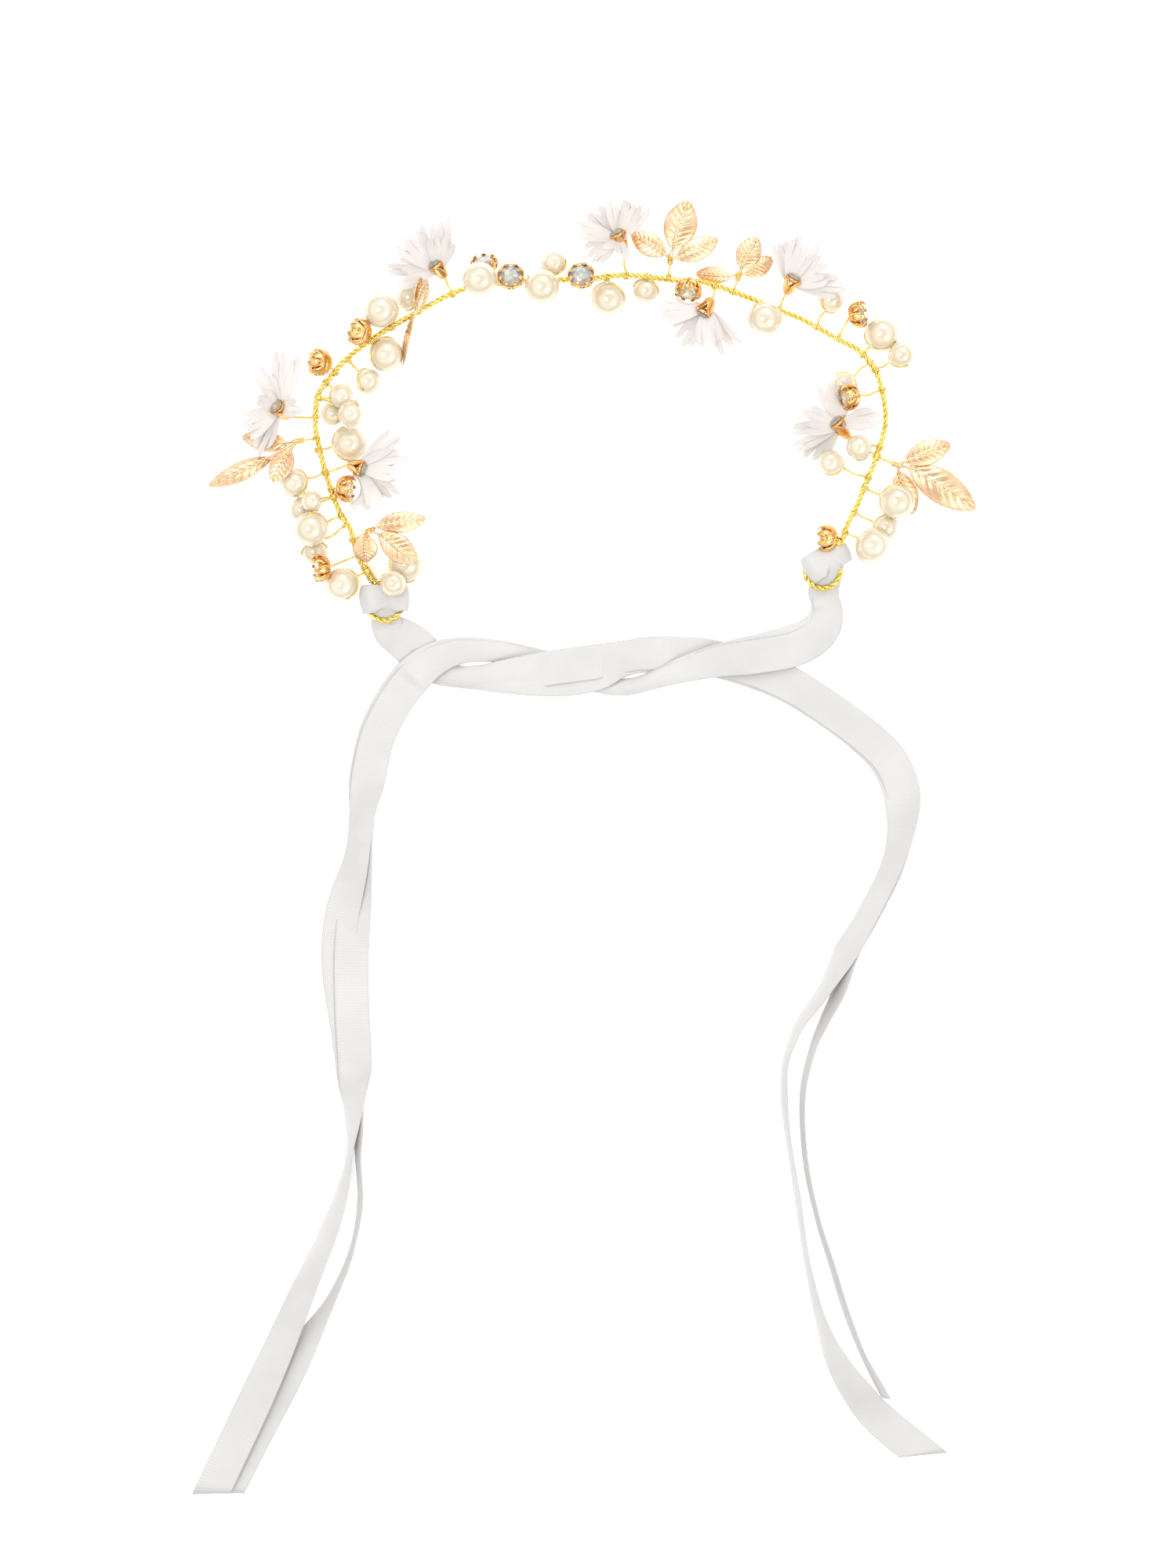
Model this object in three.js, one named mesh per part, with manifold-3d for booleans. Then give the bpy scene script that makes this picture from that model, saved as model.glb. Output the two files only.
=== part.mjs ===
// A flower crown: a band of twisted gold wire, with pearl beads, claw-set rhinestones, silk flowers and pressed
// leaf sprigs wired onto it, and two satin ribbons hitched on its end rings and half knotted together.
// Millimetres. The crown lies on a table at z = 0 with its front towards +Y. The origin is on the table, under
// the middle of the whole object's box.

import * as THREE from "three";
import { mergeVertices } from "three/addons/utils/BufferGeometryUtils.js";
import Module from "manifold-3d";

const wasm = await Module();
wasm.setup();

// Driving dimensions.
const GAP = 0.35;
const BAND_RADIUS = 0.9;
const BAND_HEIGHT = 7;
const RING_RADIUS = 5.1;
const RING_HEIGHT = 5;
const STEM_RADIUS = 0.4;
const LARGE_PEARL = 10;
const MEDIUM_PEARL = 8.2;
const SMALL_PEARL = 7.4;
const STONE_RADIUS = 3.9;
const STONE_DEPTH = 5;
const HEART_RADIUS = 2.3;
const HEART_DEPTH = 2.2;
const SEPAL_RADIUS = 2.6;
const WHORL_RADIUS = 3.2;
const PETAL_THICKNESS = 0.5;
const LEAF_THICKNESS = 0.6;
const RIBBON_THICKNESS = 0.8;
const LOOP_INNER_RADIUS = 2.2;
const LOOP_WIDTH = 6.6;

// Centre line of the wire band, from the left ring round the front to the right ring.
const BAND_ROUTE = [
  [-59.9, 75.4, RING_HEIGHT],
  [-63.3, 81, 6],
  [-67.6, 90.3, BAND_HEIGHT],
  [-71, 98.1, BAND_HEIGHT],
  [-74.4, 107.2, BAND_HEIGHT],
  [-76.9, 115.3, BAND_HEIGHT],
  [-77.6, 122.4, BAND_HEIGHT],
  [-77, 129.5, BAND_HEIGHT],
  [-74.4, 134.6, BAND_HEIGHT],
  [-64.4, 144, BAND_HEIGHT],
  [-51.5, 153, BAND_HEIGHT],
  [-35.3, 160.8, BAND_HEIGHT],
  [-21, 163, BAND_HEIGHT],
  [0, 164.4, BAND_HEIGHT],
  [12, 165.1, BAND_HEIGHT],
  [22.4, 164.7, BAND_HEIGHT],
  [34.9, 162.9, BAND_HEIGHT],
  [49, 158.3, BAND_HEIGHT],
  [62.2, 152.6, BAND_HEIGHT],
  [74.4, 146.5, BAND_HEIGHT],
  [81.5, 141.2, BAND_HEIGHT],
  [84.9, 135.8, BAND_HEIGHT],
  [86.7, 128.1, BAND_HEIGHT],
  [86.3, 119.5, BAND_HEIGHT],
  [83.1, 109.9, BAND_HEIGHT],
  [80.1, 102.4, BAND_HEIGHT],
  [76.2, 93.5, BAND_HEIGHT],
  [73.4, 88, 6],
  [71.35, 84.5, RING_HEIGHT],
];
const LEFT_RING = [-57.7, 70.8, RING_HEIGHT];
const RIGHT_RING = [68.8, 80.1, RING_HEIGHT];

// The line that both ribbon loops swing about, through the lower rims of the two rings.
const LEFT_PIVOT = [-57.3, 66.2, RING_HEIGHT];
const RIGHT_PIVOT = [69.2, 75.5, RING_HEIGHT];

// Beads, as [x, y, z, diameter]. Each entry is the beads that share one wire.
const PEARLS = {
  pearl_01: [[-30.1, 163.5, 13.3, LARGE_PEARL]],
  pearl_02: [[-12.2, 161.5, 13.2, LARGE_PEARL]],
  pearl_03: [[-8.8, 169, 5, SMALL_PEARL]],
  pearl_04: [[6.9, 158.5, 5, LARGE_PEARL]],
  pearl_05: [[17.8, 161.2, 4, SMALL_PEARL]],
  pearl_06: [[51.9, 152.2, 12, LARGE_PEARL]],
  pearl_07: [[71.2, 158.5, 4, SMALL_PEARL]],
  pearl_08: [[86, 148.5, 5, LARGE_PEARL]],
  pearl_09: [[91.5, 142.2, 8, SMALL_PEARL]],
  pearl_10: [[74.9, 133.8, 4, SMALL_PEARL]],
  pearl_11: [[79, 115.5, 10, SMALL_PEARL]],
  pearl_12: [[70.8, 111.2, 8, SMALL_PEARL]],
  pearl_13: [[90.3, 99.9, 7.6, LARGE_PEARL]],
  pearl_14: [[87.2, 92.6, 3.7, SMALL_PEARL]],
  pearl_15: [[83.1, 87.2, 10.4, LARGE_PEARL]],
  pearl_16: [[-67.8, 116.9, 5, LARGE_PEARL]],
  pearl_17: [[-62.6, 134.9, 4, SMALL_PEARL]],
  pearl_18: [[-57.3, 142.5, 5, LARGE_PEARL]],
  pearl_19: [[-58.8, 155, 9.6, LARGE_PEARL]],
  pearl_20: [[-50.6, 159.2, 3.7, SMALL_PEARL]],
  pearl_21: [[-84, 105.4, 4.2, MEDIUM_PEARL]],
  pearl_22: [[-70.3, 76, 5, LARGE_PEARL]],
  pearl_trio: [
    [-70, 130.2, 7.6, 6.8],
    [-72.9, 125.6, 3.5, 6.8],
    [-67.2, 125, 11.7, SMALL_PEARL],
  ],
  pearl_pair_1: [
    [-82, 97.6, 3.6, 7],
    [-78.6, 100, 9, 6],
  ],
  pearl_pair_2: [
    [-79, 91.9, 9.7, LARGE_PEARL],
    [-78.1, 85.6, 3.7, SMALL_PEARL],
  ],
  pearl_pair_3: [
    [-51.5, 81.9, 5, LARGE_PEARL],
    [-55.1, 76.2, 10.5, SMALL_PEARL],
  ],
};

// Rhinestones in their claw cups, as centre and the way each one faces.
const RHINESTONES = [
  { at: [-76.2, 140, 9], faces: [-0.75, 0.1, -0.6] },
  { at: [-64.7, 148.6, 10.8], faces: [-0.8, 0.3, -0.5] },
  { at: [-29, 168.6, 4.3], faces: [-0.1, 0.8, 0.5] },
  { at: [-21.2, 164.4, 11], faces: [-0.05, 0.36, 0.93] },
  { at: [-1, 164.6, 11], faces: [0, 0.4, 0.9] },
  { at: [29.9, 160.8, 11], faces: [-0.15, -0.85, 0.4] },
  { at: [79, 154, 8], faces: [0.95, 0.1, 0.15] },
  { at: [76.2, 129.9, 11.4], faces: [-0.8, -0.2, 0.2] },
  { at: [70, 89.4, 7], faces: [-0.88, 0, -0.35] },
  { at: [-68.6, 103.6, 10.5], faces: [0.88, -0.12, 0.1] },
  { at: [-76, 80.8, 10], faces: [-0.95, -0.1, 0.1] },
];

// Silk flowers: the back of the sepal cup, the middle of the petal whorl, and each petal's tip and width.
const FLOWERS = [
  {
    back: [-85.8, 124.4, 6],
    whorl: [-88.1, 126.5, 9.2],
    petals: [
      { tip: [-84, 146, 13], width: 8.5 },
      { tip: [-94, 140, 14], width: 6 },
      { tip: [-94.2, 131.5, 17], width: 6 },
      { tip: [-100.3, 119.4, 12], width: 8 },
      { tip: [-96, 113.5, 5], width: 8 },
      { tip: [-80.5, 126.5, 14], width: 6 },
    ],
  },
  {
    back: [-68.1, 110.6, 10],
    whorl: [-65.2, 109.6, 10.8],
    petals: [
      { tip: [-51.5, 120.3, 15], width: 6 },
      { tip: [-54.6, 115.5, 4], width: 8 },
      { tip: [-49.4, 109.9, 14], width: 10 },
      { tip: [-53, 101.3, 6], width: 8 },
      { tip: [-61.5, 95, 10], width: 9 },
    ],
  },
  {
    back: [-40.2, 164.7, 8],
    whorl: [-42.2, 167.2, 9.2],
    petals: [
      { tip: [-43.2, 184, 9], width: 9 },
      { tip: [-54, 177.6, 14], width: 9 },
      { tip: [-57.8, 170.1, 5], width: 8 },
      { tip: [-56.4, 162.7, 12], width: 7 },
      { tip: [-40.8, 177.5, 18], width: 9 },
    ],
  },
  {
    back: [11.9, 172, 8],
    whorl: [9.9, 175.8, 9.2],
    petals: [
      { tip: [9.9, 188.5, 10], width: 8.5 },
      { tip: [17.6, 187.6, 13], width: 8 },
      { tip: [-0.3, 184.2, 6], width: 9.5 },
      { tip: [-6.2, 179.4, 14], width: 6 },
      { tip: [-0.8, 169, 9], width: 8 },
      { tip: [8.5, 169.5, 18], width: 7 },
    ],
  },
  {
    back: [36.7, 158.3, 10.5],
    whorl: [34.9, 155.3, 10.5],
    petals: [
      { tip: [18.1, 154, 13], width: 8 },
      { tip: [26, 144.4, 8], width: 9 },
      { tip: [35.8, 142, 14], width: 8.5 },
      { tip: [44.4, 140.8, 8], width: 7 },
      { tip: [30.6, 145.8, 2], width: 8 },
    ],
  },
  {
    back: [58.1, 159.9, 8],
    whorl: [59.7, 163, 9.2],
    petals: [
      { tip: [56.7, 178.1, 9], width: 9 },
      { tip: [64.2, 177.6, 15], width: 9 },
      { tip: [71.9, 167.4, 14], width: 9 },
      { tip: [77, 161.3, 10], width: 8 },
      { tip: [66, 171, 3], width: 8 },
    ],
  },
  {
    back: [76.5, 118.5, 5],
    whorl: [73.5, 121.9, 6.5],
    petals: [
      { tip: [70.6, 136.7, 10], width: 9 },
      { tip: [60.6, 124.2, 12], width: 8.5 },
      { tip: [57.8, 117.8, 6], width: 8 },
      { tip: [62.8, 111.7, 2], width: 9 },
      { tip: [86.9, 125.3, 13], width: 7 },
    ],
  },
];

// Pressed leaf sprigs: the fold of the sprig, and each leaf's foot, tip and width.
const SPRIGS = [
  {
    fold: [-83, 117.5, 7],
    leaves: [
      { foot: [-90.8, 112.6, 5], tip: [-108.5, 104.7, 4], width: 5.5 },
      { foot: [-84.9, 114.7, 8], tip: [-89.9, 105.6, 10], width: 6.5 },
      { foot: [-86, 116.5, 4], tip: [-99, 119, 2], width: 6 },
    ],
  },
  {
    fold: [-61.5, 91.5, 12.5],
    leaves: [
      { foot: [-59.7, 92.8, 12], tip: [-45.8, 94.9, 10], width: 6 },
      { foot: [-58.7, 90.3, 12.5], tip: [-48.3, 82.2, 12.5], width: 7.5 },
      { foot: [-63.2, 90.2, 12], tip: [-63.1, 82.4, 9.5], width: 7 },
    ],
  },
  {
    fold: [-48.2, 155.5, 10],
    leaves: [
      { foot: [-48, 157, 11], tip: [-47.2, 164, 14], width: 7, turn: 75 },
      { foot: [-49.4, 153, 9], tip: [-52.4, 139.7, 5], width: 7, turn: 80 },
      { foot: [-47.5, 154.5, 12], tip: [-45.4, 163, 16], width: 5, turn: 60 },
    ],
  },
  {
    fold: [24.8, 170.5, 5],
    leaves: [
      { foot: [25.6, 173.5, 5], tip: [29.9, 187, 4], width: 9.5 },
      { foot: [26.8, 170.4, 5], tip: [38.5, 176, 3], width: 6.5 },
      { foot: [23.1, 171.5, 5], tip: [13.7, 177.6, 4], width: 6.5 },
    ],
  },
  {
    fold: [44.7, 165.8, 5],
    leaves: [
      { foot: [45.1, 167.6, 5], tip: [49.9, 176.5, 4], width: 7 },
      { foot: [42.2, 165.1, 5], tip: [32.4, 166.2, 2.5], width: 5 },
      { foot: [46.7, 165.4, 5], tip: [54.4, 170.8, 2.5], width: 5.5 },
    ],
  },
  {
    fold: [90.5, 110.5, 7],
    leaves: [
      { foot: [92.6, 111.7, 7], tip: [105.6, 116.7, 5], width: 7 },
      { foot: [94, 110.2, 6], tip: [112.8, 98.1, 4], width: 9.5 },
      { foot: [90.4, 108.5, 5], tip: [95.3, 96.9, 1], width: 7 },
    ],
  },
];

// Ribbons, as stations [x, y, lift, width, tilt]. Lift is the height of the underside above the table, and tilt
// is in degrees, 0 lying flat and 90 standing on edge. The doubled strap runs from the ring to where its two
// tails part, and each tail runs on from there.
const LEFT_STRAP = [
  [-57.2, 63.6, 4.3, 6.6, 0],
  [-55.1, 61, 2.2, 8, 0],
  [-51.2, 57.6, 0.6, 9, 0],
  [-47.2, 54.2, 0, 9, 0],
  [-42.6, 51.2, 0, 7, 0],
  [-36.9, 49.4, 0.3, 5.5, 0],
  [-30.3, 49.4, 1.4, 6.5, 0],
  [-22.8, 49.4, 1.6, 8, 0],
  [-13.8, 50.1, 1.6, 10, 0],
  [-4.7, 51, 1.6, 10, 0],
  [4.4, 52.2, 1.6, 9.5, 0],
  [8.2, 53.8, 1.4, 8.2, 0],
  [13, 55.4, 0.8, 8, 0],
  [18.1, 56.2, 0, 8.4, 0],
  [26.5, 56, 0, 9.5, 0],
  [36.3, 55.3, 0, 10, 0],
  [48.8, 51.9, 0, 10, 0],
  [60.1, 46.3, 0, 10, 0],
  [71.5, 39.4, 0, 10, 0],
  [80.6, 33.1, 0, 10, 0],
  [87.8, 26.3, 0, 10, 0],
  [91.9, 17.4, 0, 10, 0],
  [91.9, 6, 0, 10, 0],
  [88.5, -6.9, 0, 10, 0],
  [80.6, -21.9, 0, 10, 0],
  [71, -38.3, 0, 10, 0],
  [64.2, -53.8, 0, 10, 0],
];
const LEFT_TAILS = [
  [
    [64.2, -53.8, 0, 9, 0],
    [60.6, -66.7, 0, 9, 30],
    [59, -81.5, 0, 9.4, 80],
    [61, -95, 0, 9.4, 78],
    [62.4, -106, 0, 9.4, 74],
    [67.6, -134.7, 0, 9.4, 65],
    [72.8, -147.2, 0, 10, 38],
    [80.1, -159, 0.9, 10, 20],
    [86.3, -166, 1.2, 10, 8],
    [98.1, -175.8, 1.4, 10, 0],
  ],
  [
    [64.2, -53.8, 0, 9, 0],
    [63.5, -66.7, 0, 9, 40],
    [63.4, -81.5, 0, 9.4, 80],
    [65.6, -101.9, 0, 9.4, 78],
    [70.6, -120.6, 0, 9.4, 74],
    [74.9, -134.2, 0, 9.4, 74],
    [80.4, -146.8, 0, 9.4, 74],
    [86.6, -156, 0, 9.4, 74],
  ],
];
const RIGHT_STRAP = [
  [69.3, 72.9, 4.3, 6.6, 0],
  [70, 69.6, 3.2, 7.6, 0],
  [69.2, 65, 2.4, 8.4, 0],
  [65.8, 60.9, 1.8, 9, 0],
  [59.2, 58.1, 1.6, 10, 0],
  [48.8, 56.3, 1.6, 10, 0],
  [39, 54.7, 1.6, 9, 0],
  [30.6, 52.4, 1.6, 8, 0],
  [23.8, 50.1, 1.6, 6, 0],
  [18.1, 48.2, 1.6, 4.3, 0],
  [13, 47.2, 0.8, 4, 0],
  [8, 46.8, 0, 4, 0],
  [4.4, 47.6, 0, 5, 0],
  [-2.4, 49.9, 0, 7, 0],
  [-10.3, 52.6, 0, 8, 0],
  [-17.2, 54.6, 0, 6, 0],
  [-24, 56.6, 0.1, 5.2, 0],
  [-30.3, 57.6, 0.9, 6, 0],
  [-36.9, 57, 1.5, 6.6, 0],
  [-44.4, 54.2, 1.6, 8, 0],
  [-50.8, 48.5, 1.6, 9.5, 0],
  [-56, 41.3, 0.8, 10, 0],
  [-60.3, 32.2, 0, 10, 0],
  [-62.6, 21.9, 0, 10, 0],
  [-64.2, 9.4, 0, 10, 0],
  [-65.6, -4.2, 0, 10, 0],
  [-69.2, -22.4, 0, 10, 0],
  [-69.4, -36, 0, 10, 0],
  [-68.1, -51.9, 0, 10, 0],
  [-66.9, -65.6, 0, 10, 0],
  [-66.7, -74, 0, 10, 0],
];
const RIGHT_TAILS = [
  [
    [-66.7, -74, 0, 9, 0],
    [-67.4, -86, 0, 9, 50],
    [-68.4, -95, 0, 9.4, 76],
    [-70.6, -103, 0.1, 9.4, 66],
    [-75, -115, 0, 10, 56],
    [-81, -127.5, 0.3, 10, 54],
    [-89.3, -146.9, 0.5, 10, 40],
    [-97.2, -164, 1.2, 10, 10],
    [-108.1, -187, 1.4, 10, 0],
  ],
  [
    [-66.7, -74, 0, 9, 0],
    [-65.8, -86, 0, 9, -50],
    [-65.2, -95, 0, 9.4, -76],
    [-65.2, -106, 0, 9.4, -76],
    [-69, -118, 0, 9.4, -72],
    [-76, -131.7, 0.2, 9.4, -60],
    [-84, -147, 0.2, 10, -20],
    [-92, -163.4, 0, 10, 0],
    [-104.2, -187, 0, 10, 0],
  ],
];

const MATERIALS = {
  wire: new THREE.MeshStandardMaterial({ color: 0xd9b64a, roughness: 0.3, metalness: 1 }),
  setting: new THREE.MeshStandardMaterial({ color: 0xd9963c, roughness: 0.25, metalness: 1 }),
  leaf: new THREE.MeshStandardMaterial({ color: 0xdcae7c, roughness: 0.4, metalness: 1 }),
  pearl: new THREE.MeshStandardMaterial({ color: 0xf0e8d8, roughness: 0.25, metalness: 0 }),
  petal: new THREE.MeshStandardMaterial({ color: 0xf4f0ee, roughness: 0.8, metalness: 0 }),
  ribbon: new THREE.MeshStandardMaterial({ color: 0xe8e6e2, roughness: 0.5, metalness: 0 }),
};

const crown = new THREE.Group();
const UP = new THREE.Vector3(0, 0, 1);

function vector(point) {
  return new THREE.Vector3(...point);
}

// A closed three.js geometry as a manifold solid.
function solidOf(geometry) {
  const bare = new THREE.BufferGeometry();
  const source = geometry.index ? geometry.toNonIndexed() : geometry;
  bare.setAttribute("position", source.getAttribute("position"));
  const merged = mergeVertices(bare, 1e-4);
  return new wasm.Manifold(
    new wasm.Mesh({
      numProp: 3,
      vertProperties: merged.attributes.position.array,
      triVerts: new Uint32Array(merged.index.array),
    }),
  );
}

function geometryOf(solid) {
  const mesh = solid.getMesh();
  const geometry = new THREE.BufferGeometry();
  geometry.setAttribute("position", new THREE.BufferAttribute(mesh.vertProperties, 3));
  geometry.setIndex(new THREE.BufferAttribute(mesh.triVerts, 1));
  return geometry;
}

function joined(parts) {
  return parts.reduce((whole, next) => whole.add(next));
}

function largestBody(solid) {
  const bodies = solid.decompose();
  return bodies.reduce((best, next) => (next.volume() > best.volume() ? next : best));
}

function addNode(name, solid, material) {
  const mesh = new THREE.Mesh(geometryOf(solid), material);
  mesh.name = name;
  crown.add(mesh);
}

// Turns a geometry made along +Y so that it runs along direction, and puts its middle at place.
function aimed(geometry, place, direction) {
  const turn = new THREE.Quaternion().setFromUnitVectors(new THREE.Vector3(0, 1, 0), direction);
  geometry.applyQuaternion(turn);
  geometry.translate(place.x, place.y, place.z);
  return geometry;
}

function rod(from, to, radius, sides = 5) {
  const along = to.clone().sub(from);
  const middle = from.clone().add(to).multiplyScalar(0.5);
  const geometry = new THREE.CylinderGeometry(radius, radius, along.length(), sides);
  return solidOf(aimed(geometry, middle, along.normalize()));
}

function ball(centre, diameter) {
  const geometry = new THREE.SphereGeometry(diameter / 2, 10, 6);
  geometry.translate(centre.x, centre.y, centre.z);
  return solidOf(geometry);
}

// A faceted stone in its cup, from its narrow back to its table.
function gem(centre, direction, radius, depth, sides = 10) {
  const profile = [
    [0, -0.5],
    [0.4, -0.5],
    [1, 0.05],
    [1, 0.25],
    [0.6, 0.5],
    [0, 0.5],
  ].map(([r, h]) => new THREE.Vector2(r * radius, h * depth));
  return solidOf(aimed(new THREE.LatheGeometry(profile, sides), centre, direction));
}

const bandCurve = new THREE.CatmullRomCurve3(BAND_ROUTE.map(vector));
const BAND_SAMPLES = bandCurve.getSpacedPoints(600);

function nearestOnBand(point) {
  return BAND_SAMPLES.reduce((best, next) =>
    Math.hypot(next.x - point.x, next.y - point.y) < Math.hypot(best.x - point.x, best.y - point.y)
      ? next
      : best,
  );
}

// A stem from a piece to just short of the band.
function stem(from, towards = from) {
  const bound = nearestOnBand(towards);
  const back = from.clone().sub(bound).normalize();
  const end = bound.clone().addScaledVector(back, BAND_RADIUS + GAP);
  return rod(from, end, STEM_RADIUS);
}

function addBand() {
  const round = new THREE.Shape();
  round.absarc(0, 0, BAND_RADIUS, 0, 2 * Math.PI, false);
  const tube = new THREE.ExtrudeGeometry(round, {
    steps: 75,
    curveSegments: 4,
    bevelEnabled: false,
    extrudePath: bandCurve,
  });
  const rings = [LEFT_RING, RIGHT_RING].map((centre) => {
    const ring = new THREE.TorusGeometry(RING_RADIUS, BAND_RADIUS, 6, 20);
    ring.translate(...centre);
    return solidOf(ring);
  });
  addNode("band_wire", joined([solidOf(tube), ...rings]), MATERIALS.wire);
}

function addPearls() {
  for (const [name, beads] of Object.entries(PEARLS)) {
    const parts = [];
    beads.forEach(([x, y, z, diameter], index) => {
      const centre = new THREE.Vector3(x, y, z);
      parts.push(ball(centre, diameter));
      parts.push(index ? rod(vector(beads[0]), centre, STEM_RADIUS) : stem(centre));
    });
    addNode(name, joined(parts), MATERIALS.pearl);
  }
}

function addRhinestones() {
  RHINESTONES.forEach(({ at, faces }, index) => {
    const centre = vector(at);
    const facing = vector(faces).normalize();
    const back = centre.clone().addScaledVector(facing, -0.45 * STONE_DEPTH);
    const stone = gem(centre, facing, STONE_RADIUS, STONE_DEPTH);
    addNode(`rhinestone_${index + 1}`, joined([stone, stem(back)]), MATERIALS.setting);
  });
}

// A thin leaf-shaped slab from foot to tip. Share gives its half width at each step along it.
function blade(foot, tip, width, thickness, share, turn = 0) {
  const along = tip.clone().sub(foot);
  const length = along.length();
  along.normalize();
  const facing = UP.clone().addScaledVector(along, -UP.dot(along)).normalize();
  facing.applyAxisAngle(along, THREE.MathUtils.degToRad(turn));
  const side = new THREE.Vector3().crossVectors(along, facing);
  const outline = new THREE.Shape();
  const steps = 4;
  const rim = [];
  for (let i = 0; i <= steps; i++) {
    rim.push([(i / steps) * length, (share(i / steps) * width) / 2]);
  }
  const back = rim.map(([x, y]) => [x, -y]).reverse();
  outline.setFromPoints([...back, ...rim].map(([x, y]) => new THREE.Vector2(x, y)));
  const geometry = new THREE.ExtrudeGeometry(outline, { depth: thickness, bevelEnabled: false });
  geometry.translate(0, 0, -thickness / 2);
  geometry.applyMatrix4(new THREE.Matrix4().makeBasis(along, side.negate(), facing));
  geometry.translate(foot.x, foot.y, foot.z);
  return solidOf(geometry);
}

function petalShare(u) {
  return 0.3 + 0.7 * Math.sin((Math.PI / 2) * Math.min(1, 1.35 * u));
}

function leafShare(u) {
  return 0.08 + 0.92 * Math.sin(Math.PI * (0.04 + 0.92 * u)) ** 0.8;
}

// What is left of a thin piece once its neighbours, each with the gap round it, have pushed it aside.
function clearOf(solid, keepouts) {
  return largestBody(keepouts.reduce((rest, keepout) => rest.subtract(keepout), solid));
}

// The space round every firm piece that petals and leaves stay out of.
function firmKeepouts() {
  const found = [];
  for (const beads of Object.values(PEARLS)) {
    for (const [x, y, z, diameter] of beads) {
      const centre = new THREE.Vector3(x, y, z);
      found.push(ball(centre, diameter + 4 * GAP));
      found.push(rod(centre, nearestOnBand(centre), STEM_RADIUS + GAP));
    }
  }
  for (const { at, faces } of RHINESTONES) {
    const facing = vector(faces).normalize();
    found.push(gem(vector(at), facing, STONE_RADIUS + 1.5 * GAP, STONE_DEPTH + 3 * GAP, 8));
  }
  const round = new THREE.Shape();
  round.absarc(0, 0, BAND_RADIUS + 1.5 * GAP, 0, 2 * Math.PI, false);
  const sleeve = { steps: 60, curveSegments: 3, bevelEnabled: false, extrudePath: bandCurve };
  found.push(solidOf(new THREE.ExtrudeGeometry(round, sleeve)));
  return found;
}

function addFlowers(keepouts) {
  const hearts = FLOWERS.map(({ back, whorl }) => {
    const from = vector(back);
    const middle = vector(whorl);
    const axis = middle.clone().sub(from).normalize();
    const sepalFront = middle.clone().addScaledVector(axis, -PETAL_THICKNESS / 2 - GAP);
    const sepalLength = sepalFront.distanceTo(from);
    const sepalMiddle = from.clone().add(sepalFront).multiplyScalar(0.5);
    const cup = new THREE.CylinderGeometry(SEPAL_RADIUS, 0.6, sepalLength, 8);
    const heartBack = middle.clone().addScaledVector(axis, PETAL_THICKNESS / 2 + GAP);
    const heart = heartBack.clone().addScaledVector(axis, HEART_DEPTH / 2);
    const firm = joined([
      solidOf(aimed(cup, sepalMiddle, axis)),
      rod(sepalMiddle, heart, STEM_RADIUS),
      gem(heart, axis, HEART_RADIUS, HEART_DEPTH, 8),
      stem(from.clone().addScaledVector(axis, 0.5)),
    ]);
    const wideCup = new THREE.CylinderGeometry(SEPAL_RADIUS + 2 * GAP, 0.6 + GAP, sepalLength + GAP, 6);
    const room = joined([
      solidOf(aimed(wideCup, sepalMiddle, axis)),
      rod(sepalMiddle, heart, STEM_RADIUS + GAP),
      gem(heart, axis, HEART_RADIUS + 2 * GAP, HEART_DEPTH + 2 * GAP, 6),
      rod(from, nearestOnBand(from), STEM_RADIUS + GAP),
    ]);
    return { middle, axis, firm, room };
  });
  const rooms = hearts.map(({ room }) => room);
  const whorls = [];
  FLOWERS.forEach(({ petals }, index) => {
    const { middle, axis, firm } = hearts[index];
    const disc = new THREE.CylinderGeometry(WHORL_RADIUS, WHORL_RADIUS, PETAL_THICKNESS, 8);
    const parts = petals.map(({ tip, width }) => {
      const end = vector(tip);
      const out = end.clone().sub(middle).addScaledVector(axis, -end.clone().sub(middle).dot(axis));
      const foot = middle.clone().addScaledVector(out.normalize(), 0.6 * WHORL_RADIUS);
      return blade(foot, end, width, PETAL_THICKNESS, petalShare);
    });
    const whole = joined([solidOf(aimed(disc, middle, axis)), ...parts]);
    const whorl = clearOf(whole, [...keepouts, ...rooms, ...whorls]);
    addNode(`flower_${index + 1}_petals`, whorl, MATERIALS.petal);
    addNode(`flower_${index + 1}_heart`, firm, MATERIALS.setting);
    whorls.push(whorl);
  });
  return [...rooms, ...whorls];
}

function addSprigs(keepouts) {
  const before = [];
  SPRIGS.forEach(({ fold, leaves }, index) => {
    const from = vector(fold);
    const bound = nearestOnBand(from);
    const end = bound.clone().addScaledVector(from.clone().sub(bound).normalize(), BAND_RADIUS + 2 * GAP);
    const parts = leaves.map(({ foot, tip, width, turn }) =>
      blade(vector(foot), vector(tip), width, LEAF_THICKNESS, leafShare, turn),
    );
    const stalks = leaves.map(({ foot, tip }) => {
      const start = vector(foot);
      return rod(from, start.addScaledVector(vector(tip).sub(start).normalize(), 1.5), 0.5);
    });
    const whole = joined([...stalks, ...parts, rod(from, end, STEM_RADIUS)]);
    const sprig = clearOf(whole, [...keepouts, ...before]);
    addNode(`leaf_sprig_${index + 1}`, sprig, MATERIALS.leaf);
    before.push(sprig);
  });
}

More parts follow.
